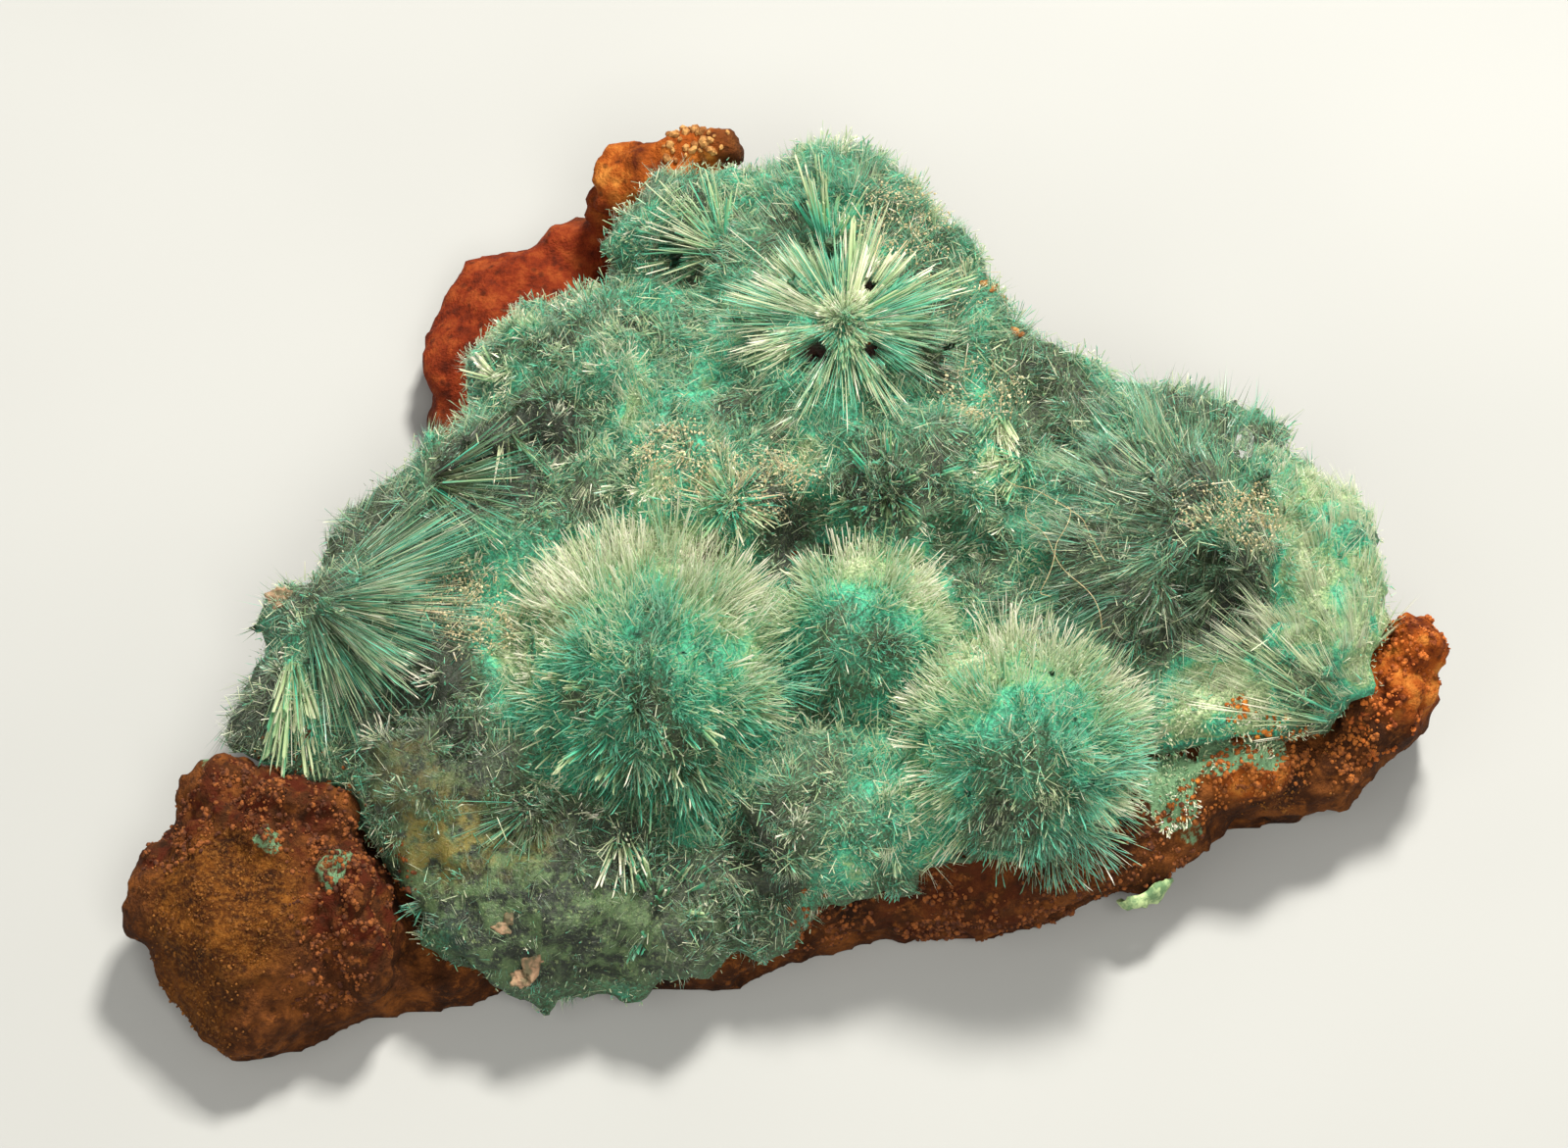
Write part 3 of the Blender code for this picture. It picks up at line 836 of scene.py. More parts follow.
class CrystalTree(GrowTree):
    """Grows a crystal from every point."""

    COLUMNS = 64
    NAME = "grow crystals"
    INPUTS = (("Sides", "Int"), ("Root Width", "Float"), ("Tip Width", "Float"), ("Flatness", "Float"),
              ("Slant", "Float"), ("Finish", "Material"))

    def grown(self, given: Inputs) -> Socket:
        """Put a crystal on every point, make them real and lay out their map."""
        return self.mapped(self.placed(given, self.crystal(given)))

    def crystal(self, given: Inputs) -> Socket:
        """Make one crystal, one long and one wide at its widest, with a slanting end.

        Args:
            given: the tree's inputs.

        Returns:
            The crystal.
        """
        cone = self.add("GeometryNodeMeshCone", Vertices=given["Sides"], Radius_Bottom=given["Root Width"],
                        Radius_Top=given["Tip Width"], Depth=1.0)
        position = self.add("GeometryNodeInputPosition").outputs[0]
        place = self.add("ShaderNodeSeparateXYZ", Vector=position).outputs
        slant = self.math("ADD", self.math("MULTIPLY", place[0], given["Slant"]), 1.0)
        height = self.math("MULTIPLY", place[2], slant)
        thick = self.math("MULTIPLY", place[1], given["Flatness"])
        spot = self.add("ShaderNodeCombineXYZ", X=place[0], Y=thick, Z=height).outputs[0]
        along = self.store(cone.outputs["Mesh"], "along", place[2], {"data_type": "FLOAT", "domain": "POINT"})
        return self.add("GeometryNodeSetPosition", Geometry=along, Position=spot).outputs[0]

    def placed(self, given: Inputs, shape: Socket) -> Socket:
        """Put a crystal on every point and make them real.

        Args:
            given: the tree's inputs.
            shape: the crystal.

        Returns:
            All the crystals.
        """
        way, side = (self.named(name, "FLOAT_VECTOR") for name in ("way", "side"))
        up = self.add("FunctionNodeAlignRotationToVector", {"axis": "Z"}, Vector=way)
        turned = self.add("FunctionNodeAlignRotationToVector", {"axis": "X", "pivot_axis": "Z"},
                          Rotation=up.outputs[0], Vector=side)
        width = self.named("width")
        size = self.add("ShaderNodeCombineXYZ", X=width, Y=width, Z=self.named("length")).outputs[0]
        many = self.add("GeometryNodeInstanceOnPoints", Points=given["Geometry"], Instance=shape,
                        Rotation=turned.outputs[0], Scale=size)
        return self.add("GeometryNodeRealizeInstances", Geometry=many.outputs[0]).outputs[0]

    def mapped(self, geometry: Socket) -> Socket:
        """Lay every crystal on a column of the map that stands for its tone, with no face flat on it.

        Args:
            geometry: the crystals.

        Returns:
            The crystals with their map.
        """
        corner = self.add("GeometryNodeFaceOfCorner").outputs["Index in Face"]
        column = self.math("FLOOR", self.math("MULTIPLY", self.named("tone"), self.COLUMNS - 0.01))
        inside = self.math("ADD", self.math("MULTIPLY", corner, 0.25), 0.12)
        across = self.math("DIVIDE", self.math("ADD", column, inside), self.COLUMNS)
        middle = self.math("MULTIPLY", self.math("COMPARE", corner, 1.0), 0.04)
        along = self.math("ADD", self.math("MULTIPLY", self.named("along"), 0.92), 0.02)
        spot = self.add("ShaderNodeCombineXYZ", X=across, Y=self.math("ADD", along, middle)).outputs[0]
        return self.store(geometry, "OFBake", spot, {"data_type": "FLOAT2", "domain": "CORNER"})


@dataclass
class CrystalGrower:
    """Turns sets of crystals into meshes."""

    finishes: dict[Form, bpy.types.Material]
    rng: Chance
    tree: CrystalTree = field(default_factory=CrystalTree)
    flatness: float = 0.7
    slant: float = 0.08

    def grow(self, name: str, crystals: Crystals, form: Form) -> Thing:
        """Make one piece of crystals.

        Args:
            name: the piece's name.
            crystals: the crystals.
            form: their form.

        Returns:
            The piece, as a plain mesh.
        """
        levels = CrystalTree.COLUMNS
        points = point_cloud(
            name, crystals.foot, way=crystals.way, side=unit(self.rng.normal(size=crystals.way.shape)),
            length=crystals.length * MM, width=crystals.width * MM / 2,
            tone=(np.floor(np.clip(crystals.tone, 0, 0.999) * levels) + 0.5) / levels)
        sides, root_width, tip_width = form.value
        return self.tree.grow_on(points, {
            "Sides": sides, "Root Width": root_width, "Tip Width": tip_width,
            "Flatness": self.flatness, "Slant": self.slant, "Finish": self.finishes[form]})


# ------------------------------------------------------------------ where crystals grow
def turned_by(rng: Chance, ways: Array, most: float) -> Array:
    """Turn directions a little, each its own way.

    Args:
        rng: the source of chance.
        ways: the directions, one row each.
        most: the greatest angle in degrees; smaller ones are as likely for their area.

    Returns:
        The turned directions.
    """
    push = unit(np.cross(ways, rng.normal(size=ways.shape)))
    amount = np.tan(np.radians(most)) * np.sqrt(rng.random(len(ways)))
    return unit(ways + push * amount[:, None])


def swirl_at(points: Array, *locks: Span) -> Array:
    """Look up smooth swirls, which turn neighbours the same way."""
    return np.stack([layered(points, tuple((grain, shift, strength) for grain, strength in locks))
                     for shift in (1.7, 5.3, 9.1)], axis=1)


def risen(ways: Array, normals: Array, least: float) -> Array:
    """Lift directions that point into a surface."""
    rise = np.sum(ways * normals, axis=1)
    return unit(ways + normals * np.maximum(least - rise, 0.0)[:, None] * 1.2)


def pushed_up(ways: Array, normals: Array, least: float, push: float) -> Array:
    """Push the directions that rise too little from a surface away from it.

    Args:
        ways: the directions, which are changed.
        normals: the surface's normals.
        least: the least rise, as a share of one.
        push: how hard the others are pushed.

    Returns:
        The directions.
    """
    low = np.sum(ways * normals, axis=1) < least
    ways[low] = unit(ways[low] + normals[low] * push)
    return ways


def clouds_at(points: Array) -> Array:
    """Look up the slow change of tone over the crust."""
    return layered(points, CLOUDS)


@dataclass(frozen=True)
class Spray:
    """Crystals that burst from one root.

    root and reach are in mm. lean is the least and the greatest angle from the axis, in degrees.
    start is where along the reach the crystals begin. heart is the tone that is seen down the
    crystals' length, and rim the one at their sides: the spray's own tones, with painted light in
    them, a deeper tone where the crystals point at the eye and a paler painted sheen where they lie
    across it. The crystals gather in bundles, and each spreads by up to stray degrees in its own.
    uneven is the share of the reach that a crystal may fall short by, sunny how much paler painted
    light makes the upper, lit side, flat how much of the spray's rise is left where it lies along
    the crust, cloud how much the tone wanders, and low how much shorter the crystals near the
    crust's level are.
    """

    name: str
    root: Vec3
    axis: Vec3
    lean: Span
    reach: float
    count: int
    width: Span = (0.05, 0.12)
    start: float = 0.5
    heart: float = 0.3
    rim: float = 0.6
    bundles: int = 40
    stray: float = 4.0
    uneven: float = 0.2
    painted_upper_light: float = 0.0
    form: Form = Form.LATH
    lumpy: float = 0.08
    flat: float = 1.0
    cloud: float = 0.12
    low: float = 0.0
    golden: ClassVar[float] = math.pi * (3.0 - math.sqrt(5.0))
    side_leans: ClassVar[Span] = (22.0, 70.0)
    bundle_uneven: ClassVar[float] = 0.45
    bundle_tone: ClassVar[float] = 0.06
    own_tone: ClassVar[float] = 0.05
    foot_scatter: ClassVar[float] = 0.12
    cloud_gain: ClassVar[float] = 2.5
    shortest: ClassVar[float] = 0.3

    def ways(self, rng: Chance) -> Array:
        """Pick the bundles' directions, spread evenly between the two leans.

        Args:
            rng: the source of chance.

        Returns:
            A direction for each bundle.
        """
        low, high = (math.cos(math.radians(a)) for a in self.lean)
        steps = np.arange(self.bundles) + rng.uniform(0.0, 1.0, self.bundles)
        lean = np.arccos(low + (high - low) * steps / self.bundles)
        around = np.arange(self.bundles) * self.golden + rng.normal(0.0, 0.4, self.bundles)
        axis = unit(np.array(self.axis, float))
        first = unit(np.cross(axis, (0.3, 1.0, 0.2)))
        second = np.cross(axis, first)
        out = first * np.cos(around)[:, None] + second * np.sin(around)[:, None]
        ways = axis * np.cos(lean)[:, None] + out * np.sin(lean)[:, None]
        ways[:, 2] *= self.flat
        return unit(ways)

    def tone_of(self, ways: Array) -> Array:
        """Say which tone the spray has in each direction: its own tones with a painted sheen by the angle to
        the eye, and painted light on the upper side.
        """
        aside = smoothstep(*self.side_leans, np.degrees(np.arccos(np.clip(ways @ TOWARDS_EYE, -1, 1))))
        return self.heart + (self.rim - self.heart) * aside + self.painted_upper_light * ways[:, 1]

    def crystals(self, rng: Chance) -> Crystals:
        """Set out the spray's crystals.

        Args:
            rng: the source of chance.

        Returns:
            The crystals.
        """
        middles = self.ways(rng)
        member = rng.integers(0, self.bundles, self.count)
        middle = middles[member]
        way = turned_by(rng, middle, self.stray)
        lumps = rough_at(middles * 2.2, 1.0, self.reach) + rng.normal(0.0, self.bundle_uneven, self.bundles)
        full = self.reach * (1.0 + lumps[member] * self.lumpy - rng.random(self.count) ** 2 * self.uneven)
        full = full * (1.0 - self.low * smoothstep(0.45, -0.05, way[:, 2]))
        start = self.reach * self.start * rng.uniform(0.85, 1.1, self.count)
        foot = np.array(self.root) + middle * start[:, None]
        foot = foot + rng.normal(0.0, self.foot_scatter, foot.shape)
        tone = self.tone_of(middle) + rng.normal(0.0, self.bundle_tone, self.bundles)[member]
        tone = tone + rng.normal(0.0, self.own_tone, self.count)
        tone = tone + clouds_at(foot + way * (full - start)[:, None]) * self.cloud * self.cloud_gain
        width = small_mostly(rng, self.width, self.count)
        return Crystals.of(self.form, foot, way, np.maximum(full - start, self.shortest), width, tone)


@dataclass(frozen=True)
class Comb:
    """Crystals laid along the crust's skin, all running away from one root.

    lift is how far they rise from the skin, in degrees, and dense how many start on a square
    millimetre. Where side is given, the comb keeps to that side of its root. alone is the share
    of the felt that the comb takes the place of, and unruly how far its locks swerve.
    """

    name: str
    root: Vec3
    radius: float
    lift: float
    length: Span
    dense: float
    tone: float = 0.5
    width: Span = (0.05, 0.12)
    side: Vec3 = (0.0, 0.0, 0.0)
    alone: float = 0.65
    unruly: float = 1.0
    fade: ClassVar[Span] = (1.08, 0.8)
    side_fade: ClassVar[Span] = (-0.1, 0.25)
    swerve: ClassVar[tuple[Span, ...]] = ((1.5, 0.7), (0.6, 0.4))
    wander: ClassVar[float] = 5.0
    streak_grain: ClassVar[float] = 14.0

    def weight(self, points: Array) -> Array:
        """Say how strongly the comb rules each place."""
        inside = Spot(self.root, self.radius).weight(points, self.fade)
        if any(self.side):
            beside = unit(points - np.array(self.root)) @ unit(np.array(self.side))
            inside = inside * smoothstep(*self.side_fade, beside)
        return inside

    def crystals(self, rng: Chance, skin: Skin, open_faces: Array) -> Crystals:
        """Set out the comb's crystals on a skin.

        Args:
            rng: the source of chance.
            skin: the skin.
            open_faces: how readily each of its faces grows crystals.

        Returns:
            The crystals.
        """
        spots, normals = skin.strew(rng, self.dense, self.weight(skin.middles) * open_faces)
        count = len(spots)
        away = spots - np.array(self.root)
        flat = unit(away - normals * np.sum(away * normals, axis=1)[:, None])
        rise = np.radians(self.lift + rng.normal(0.0, self.wander * self.unruly, count))
        way = flat * np.cos(rise)[:, None] + normals * np.sin(rise)[:, None]
        way = unit(way + swirl_at(spots, *self.swerve) * self.unruly)
        way = turned_by(rng, risen(way, normals, 0.06), self.wander * self.unruly)
        tufts = rough_at(spots, 0.9, 4.4)
        length = rng.uniform(*self.length, count) * (1 + 0.7 * tufts)
        streaks = rough_at(unit(away) * self.streak_grain, 1.0, self.radius)
        tone = parted(rng, self.tone + streaks * 0.3 + tufts * 0.2 + rng.normal(0.0, 0.06, count), 0.45)
        width = small_mostly(rng, self.width, count)
        return Crystals.of(Form.NEEDLE, spots - normals * ROOTED, way, length, width, tone)


class Kind(Enum):
    """What a patch does to the crust."""

    TONE = "tone"
    DUST = "dust"
    HOLLOW = "hollow"
    PIT = "pit"
    PALE = "pale"
    SWELL = "swell"
    GLOOM = "gloom"
    LEDGE = "ledge"
    BARE = "bare"
    YELLOW = "yellow"


TOWARDS_EYE = unit(np.array((0.0, -0.5, 0.866)))
CLOUDS: Layers = ((2.6, 3.0, 1.0), (1.2, 6.0, 0.6))
CLOUD_DEPTH = 0.24
PLAIN_TONE, PLAIN_WEIGHT = 0.40, 0.35
MIDDLING, DARK_TONE, PALE_TONE = (0.2, 0.41, 0.48), 0.13, 0.53
PATCH_FADE = (1.3, 0.6)
DOME_FADE = (1.15, 0.95)
PIT_FADE, PIT_REACH = (1.25, 0.8), (3.4, 2.4)
ROOTED = 0.15

# The domes' tones carry painted light: a paler upper side by sunny, and a painted sheen by the angle to the
# eye.
DOMES = (
    Spray("left dome", (-6.9, -6.5, 5.8), (0, -0.35, 1), (0, 90), 7.3, 21000, (0.04, 0.1), 0.8, 0.375, 0.55,
          480, 32, 0.34, 0.22, form=Form.BLUNT, lumpy=0.26, low=0.06, cloud=0.16),
    Spray("right dome", (11, -10.6, 6.4), (0, -0.3, 1), (0, 86), 6.2, 15000, (0.04, 0.1), 0.78, 0.375, 0.57,
          380, 32, 0.34, 0.22, form=Form.BLUNT, lumpy=0.26, cloud=0.16),
    Spray("saddle dome", (3.4, -4.6, 7.6), (0, -0.2, 1), (0, 84), 4.7, 7000, (0.04, 0.1), 0.74, 0.375, 0.53,
          180, 34, 0.35, 0.22, form=Form.BLUNT, lumpy=0.22, low=0.1),
)

# The crests' pale laths paint the light on the domes' lit upper side, and the glints are pale laths that
# stand in for painted glints.
DOME_LATHS = (
    Spray("left dome skirt", (-6.9, -6.5, 6), (0.1, -1, 0.3), (0, 64), 8.2, 620, (0.1, 0.24), 0.78, 0.5,
          0.72, 90, 8, 0.35),
    Spray("left dome crest", (-6.9, -6.5, 6), (0.15, 1, 0.75), (0, 60), 8.1, 700, (0.06, 0.16), 0.78, 0.62,
          0.76, 80, 9, 0.4),
    Spray("left dome glints", (-6.9, -6.5, 5.8), (0, -0.3, 1), (0, 80), 7.5, 320, (0.06, 0.15), 0.84, 0.66,
          0.78, 240, 20, 0.14),
    Spray("right dome crest", (11, -10.6, 6.5), (0.05, 1, 0.7), (0, 62), 6.9, 600, (0.06, 0.16), 0.78, 0.62,
          0.76, 70, 9, 0.4),
    Spray("right dome glints", (11, -10.6, 6.4), (0, -0.3, 1), (0, 76), 6.4, 180, (0.06, 0.14), 0.84, 0.66,
          0.78, 140, 20, 0.14),
    Spray("right dome west side", (11, -10.6, 6.5), (-1, -0.3, 0.45), (0, 46), 7, 380, (0.07, 0.17), 0.74,
          0.4, 0.66, 70, 7, 0.35),
    Spray("saddle crest", (3.4, -4.6, 7.5), (0.35, 1, 0.8), (0, 58), 5.6, 320, (0.07, 0.16), 0.68, 0.56,
          0.76, 50, 10, 0.4),
)

SPRAYS = (
    Spray("star north sheaf", (2.8, 10.3, 12.7), (0.62, 0.76, 0.05), (0, 46), 5.5, 230, (0.12, 0.32), 0.1,
          0.42, 0.66, 26, 4.5, 0.6, lumpy=0.3, flat=0.45),
    Spray("star west sheaf", (2.4, 10.4, 12.6), (-0.95, 0.25, 0), (0, 50), 5, 170, (0.06, 0.16), 0.14, 0.44,
          0.74, 34, 6, 0.65, lumpy=0.4, flat=0.45),
    Spray("star south sheaf", (2.6, 10, 12.5), (0.15, -1, 0), (0, 66), 3.6, 70, (0.05, 0.12), 0.3, 0.3, 0.5,
          30, 6, 0.65, lumpy=0.4, flat=0.3),
    Spray("star floor", (2.6, 10.4, 12.3), (0, 0.05, 1), (60, 90), 4.7, 5200, (0.035, 0.1), 0.2, 0.32, 0.47,
          150, 9, 0.7, form=Form.BLUNT, lumpy=0.42, cloud=0.2),
    Spray("star heart", (2.6, 10.6, 12.7), (0, 0.1, 1), (20, 85), 1.5, 500, (0.05, 0.12), 0.1, 0.5, 0.62,
          40, 14, 0.5, form=Form.BLUNT),
    Spray("right sheaf", (27.4, -8.8, 6.4), (-0.86, 0.34, 0.34), (0, 34), 7.4, 420, (0.05, 0.15), 0.3, 0.3,
          0.62, 80, 5, 0.6, lumpy=0.34),
    Spray("feather laths", (20.6, -0.9, 11.4), (-0.74, 0.67, 0), (0, 40), 7, 160, (0.05, 0.12), 0.55, 0.42,
          0.64, 80, 5, 0.5, lumpy=0.2, flat=0.5),
    Spray("crown", (22.3, -0.3, 8.2), (0.2, 0.1, 1), (0, 80), 4.7, 9000, (0.035, 0.09), 0.78, 0.24, 0.42,
          170, 24, 0.25, 0, form=Form.BLUNT, lumpy=0.16, cloud=0.2),
    Spray("left fan", (-23.4, -3.2, 8.9), (0.93, -0.3, 0.05), (0, 58), 7, 150, (0.05, 0.14), 0.2, 0.48,
          0.64, 50, 6, 0.6, lumpy=0.3, flat=0.3),
    Spray("left fan fine", (-23.4, -3.2, 8.7), (0.93, -0.3, 0.05), (0, 64), 6.6, 3000, (0.035, 0.09), 0.12,
          0.1, 0.24, 110, 7, 0.6, form=Form.BLUNT, lumpy=0.34, flat=0.4),
    Spray("left fan silk", (-23.4, -3.2, 8.8), (0.93, -0.3, 0.05), (0, 62), 6.8, 1500, (0.035, 0.09), 0.2,
          0.5, 0.56, 90, 6, 0.6, form=Form.BLUNT, lumpy=0.3, flat=0.4, cloud=0.05),
    Spray("left fan bold", (-22.6, -4.4, 9.1), (0.8, -0.58, 0.05), (0, 22), 6.2, 44, (0.1, 0.24), 0.2, 0.5,
          0.78, 16, 3, 0.4, flat=0.5),
    Spray("left tuft", (-24, -5.6, 8.3), (0.04, -0.93, -0.06), (0, 17), 6.2, 80, (0.22, 0.5), 0.16, 0.5,
          0.53, 26, 6, 0.5, lumpy=0.3, cloud=0.04),
    Spray("left tuft edge", (-24, -5.6, 8.5), (0.04, -0.93, -0.06), (0, 19), 6, 110, (0.05, 0.14), 0.24,
          0.54, 0.62, 34, 7, 0.5, lumpy=0.3, cloud=0.04),
    Spray("upper left fan", (-17.8, 2.8, 9.8), (0.95, -0.15, 0.08), (0, 50), 5.4, 300, (0.06, 0.18), 0.12,
          0.26, 0.58, 42, 7, 0.6, lumpy=0.26, flat=0.35),
    Spray("upper left brush", (-13.9, 5.6, 10), (0.25, -0.95, 0.25), (0, 26), 3.4, 50, (0.1, 0.22), 0.2,
          0.5, 0.78, 14, 4, 0.3),
    Spray("top fan", (1.9, 15, 11.6), (0.12, 0.86, 0.36), (0, 48), 4.4, 340, (0.1, 0.34), 0.2, 0.26, 0.44,
          44, 9, 0.6, lumpy=0.3),
    Spray("top left fan", (-3.2, 15.4, 11.2), (-0.75, 0.5, 0.25), (0, 64), 4.2, 300, (0.06, 0.22), 0.2,
          0.26, 0.54, 70, 16, 0.65, lumpy=0.4, flat=0.5),
    Spray("sprig", (-14.6, 8.9, 9.6), (-0.75, 0.45, 0.35), (0, 26), 2, 22, (0.18, 0.34), 0.1, 0.5, 0.7, 8,
          4, 0.3),
    Spray("middle spray", (-2.9, 1.2, 10.7), (0.1, -0.35, 1), (20, 88), 2.8, 360, (0.07, 0.18), 0.25, 0.24,
          0.52, 50, 8, 0.6, lumpy=0.26),
    Spray("middle knot", (4.7, 2.4, 9.8), (0.1, -0.3, 1), (0, 85), 3.2, 420, (0.1, 0.32), 0.25, 0.2, 0.5,
          44, 6, 0.45, lumpy=0.24, cloud=0.2),
    Spray("pale brush", (10.2, 6.4, 10.2), (-0.05, -0.95, 0.35), (0, 28), 3.2, 200, (0.08, 0.22), 0.2, 0.5,
          0.8, 24, 4, 0.35),
    Spray("east brush", (11.4, 4.2, 9.8), (-0.35, -0.75, 0.55), (0, 34), 3, 180, (0.08, 0.22), 0.2, 0.4,
          0.72, 24, 4, 0.35),
    Spray("front tuft", (-6.3, -17.6, 4.4), (0.1, -0.5, 0.8), (0, 70), 3.3, 110, (0.16, 0.4), 0.12, 0.54,
          0.6, 16, 4, 0.4, cloud=0.04),
    Spray("front laths", (-8, -14.4, 6.6), (0.05, -0.9, 0.3), (0, 30), 3.8, 44, (0.1, 0.26), 0.3, 0.6, 0.74,
          22, 6, 0.5, cloud=0.04),
    Spray("bottom left brush", (-12.2, -13.6, 7.4), (-0.5, -0.85, 0.1), (0, 60), 3.8, 260, (0.05, 0.14),
          0.3, 0.1, 0.5, 60, 14, 0.6, lumpy=0.3, flat=0.5),
)

COMBS = (
    Comb("star comb", (2.6, 10.4, 13.4), 8.6, 16, (0.6, 1.9), 40, 0.42, (0.035, 0.1)),
    Comb("right band", (28.2, -9.4, 6), 12, 4, (0.9, 2.2), 140, 0.64, (0.035, 0.08), (-0.5, 0.86, 0), 1,
         0.3),
    Comb("feather comb", (20.8, -1.3, 12.6), 10.5, 18, (1, 2.8), 56, 0.36, (0.035, 0.09), (-1, 0.4, 0)),
    Comb("left comb", (-23.4, -3.2, 9.4), 7.6, 12, (0.6, 1.8), 44, 0.34, (0.035, 0.09)),
    Comb("upper left comb", (-17.8, 2.8, 10), 5.6, 16, (0.6, 1.8), 40, 0.3, (0.035, 0.09)),
    Comb("top comb", (1.9, 14.6, 12), 6, 20, (0.6, 1.9), 40, 0.28, (0.035, 0.1), (0, 1, 0)),
)

PATCHES: dict[Kind, tuple[Spot, ...]] = {
    Kind.TONE: spot_rows(
        (-12.6, 10.1, 11.1, 3, 0.34), (-0.3, 5.3, 11.5, 2.4, 0.4), (4.5, 1.3, 10.7, 2.4, 0.3),
        (15.1, 7.5, 10.7, 3, 0.36), (20.3, 6.5, 11.3, 3.4, 0.34), (0, -14, 8, 3, 0.34),
        (5, -9, 9.5, 3, 0.42), (2.6, -17, 5.4, 2, 0.46), (-8, 5.1, 10.9, 3.6, 0.5),
        (-5, -0.6, 10.9, 3, 0.6), (9.7, 2, 10.5, 2, 0.54), (20.7, -9.3, 8, 2.6, 0.66),
        (26.6, -3.6, 8.8, 3.8, 0.68), (25.4, 0.8, 10.4, 3, 0.6), (1.6, 17.7, 13, 3.2, 0.42),
        (-5.7, 17.8, 11.8, 3.2, 0.4)),
    # Painted shade: the crust and its crystals are painted darker in these hollows and shaded parts.
    Kind.GLOOM: spot_rows(
        (-14.7, 3.6, 10.2, 3, 0.85), (-12.4, 5.6, 10.3, 2.4, 0.8), (-9.8, 2.1, 10.3, 2, 0.45),
        (-18.1, -9.2, 9.1, 4, 0.76), (-16.4, -13, 8.6, 4.6, 0.76), (-12, -15.6, 7.8, 3.6, 0.72),
        (-9.4, -18.4, 6, 4, 0.66), (-5.2, -18.8, 5.2, 3, 0.5), (-20.5, -4.5, 9.3, 5, 0.3),
        (-27, -7.6, 7, 3, 0.8), (-21, 1.2, 8.6, 3.4, 0.5), (-2.2, -17.6, 5.4, 3.2, 0.6),
        (-7.7, -14, 8.4, 3, 0.4), (20.4, -4.1, 10.5, 2.6, 0.95), (17.2, -4.8, 9.7, 2.6, 0.6),
        (14.6, -1.8, 10.6, 2.4, 0.55), (17.8, 1.2, 12.1, 3, 0.4), (21, 6.4, 11.3, 3.2, 0.2),
        (0, -14.4, 7.8, 2.6, 0.3), (13, 7, 10.6, 2, 0.4), (5.6, 2, 10.6, 3.2, 0.35),
        (0.6, -0.4, 9.6, 2.2, 0.8), (8.4, -0.9, 9.8, 1.8, 0.7), (-5.7, 15, 11.2, 1.4, 0.8),
        (9.3, -16, 8, 1.7, 0.45), (7.6, 9.5, 12, 2.6, 0.3)),
    Kind.DUST: spot_rows(
        (-5.5, 3.1, 11.9, 2.2), (-0.8, 2, 11.4, 2.2), (-15.4, -3.8, 9.1, 2.4), (5.6, 16.4, 12.2, 2.4, 0.8),
        (9.3, 7.4, 10.8, 2.2, 0.6), (19.8, -0.2, 13, 1.4), (22.2, -0.8, 13, 1.5), (8.6, 12.9, 12, 1.8, 0.4)),
    Kind.HOLLOW: spot_rows(
        (-14.7, 3.3, 10.2, 1.4), (-12.6, 5, 10.2, 1), (0.9, -0.2, 9.7, 2), (20.4, -4.1, 10.5, 2),
        (-18.6, -8.4, 9.1, 1.8), (-15.6, -10.6, 9, 1.2), (-5.7, 15, 11.2, 1.1), (13.2, 4.4, 10.4, 1.3),
        (9, -0.6, 9.8, 1.1), (-2, -15.6, 6.6, 1.1)),
    Kind.PIT: spot_rows(
        (1.4, 8.8, 12.5, 0.95), (3.9, 9, 12.3, 0.7), (3.9, 12.5, 12.4, 0.6), (-5.7, 15, 11, 0.6)),
    Kind.LEDGE: spot_rows(
        (18, -11.2, 6.6, 1.7), (20.2, -10.1, 7.8, 1.7), (22.4, -9.8, 8, 1.7), (24.4, -10, 7.4, 1),
        (18.2, -12.8, 5.6, 1.2)),
    Kind.SWELL: spot_rows(
        (28.2, -3.4, 8, 3.2), (27.2, 0.4, 9, 2.4, 0.7), (28.6, -7.4, 6.8, 2.4)),
    Kind.PALE: spot_rows(
        (12.3, -15.1, 10.4, 1.2), (23.6, -6.2, 10.4, 1.2), (9.4, -15.4, 9, 0.9, 0.6)),
    Kind.BARE: spot_rows(
        (-13, -18.9, 6.2, 4.2), (-8.8, -19.8, 5.4, 3.4), (-16.6, -16.4, 6.6, 3.6),
        (-15.6, -13.6, 7.8, 2.6, 0.75), (-12, -15.6, 7.6, 2.4, 0.7), (-18, -12.6, 8.6, 2.6, 0.6),
        (-4.4, -19.6, 5.2, 2, 0.6)),
    Kind.YELLOW: spot_rows(
        (-16.6, -15, 7, 2.4), (-13.2, -15.2, 7.6, 2.2, 0.6), (-18.4, -12.4, 8.4, 2.4, 0.6)),
}


def patch_weight(kind: Kind, points: Array) -> Array:
    """Say how strongly the patches of one kind rule each place, from 0 to 1."""
    return strongest(PATCHES[kind], points, PATCH_FADE)


def pit_weight(points: Array) -> Array:
    """Say how far each place lies down one of the crust's open pits.

    Args:
        points: places in mm.

    Returns:
        A number from 0 to 1 for each place.
    """
    total = np.zeros(len(points))
    for pit in PATCHES[Kind.PIT]:
        away = points - np.array(pit.place)
        deep = away @ TOWARDS_EYE
        across = np.linalg.norm(away - np.outer(deep, TOWARDS_EYE), axis=1)
        inside = smoothstep(pit.radius * PIT_FADE[0], pit.radius * PIT_FADE[1], across)
        total = np.maximum(total, inside * smoothstep(*PIT_REACH, np.abs(deep)))
    return total


def within_dome(dome: Spray, points: Array, fade: Span = DOME_FADE) -> Array:
    """Say how far each place lies within a dome, from 0 to 1."""
    return smoothstep(*fade, np.linalg.norm(points - np.array(dome.root), axis=1) / dome.reach)


def dome_nearness(points: Array, fade: Span = DOME_FADE) -> Array:
    """Say how far each place lies within the nearest dome, from 0 to 1."""
    return np.max([within_dome(dome, points, fade) for dome in DOMES], axis=0)


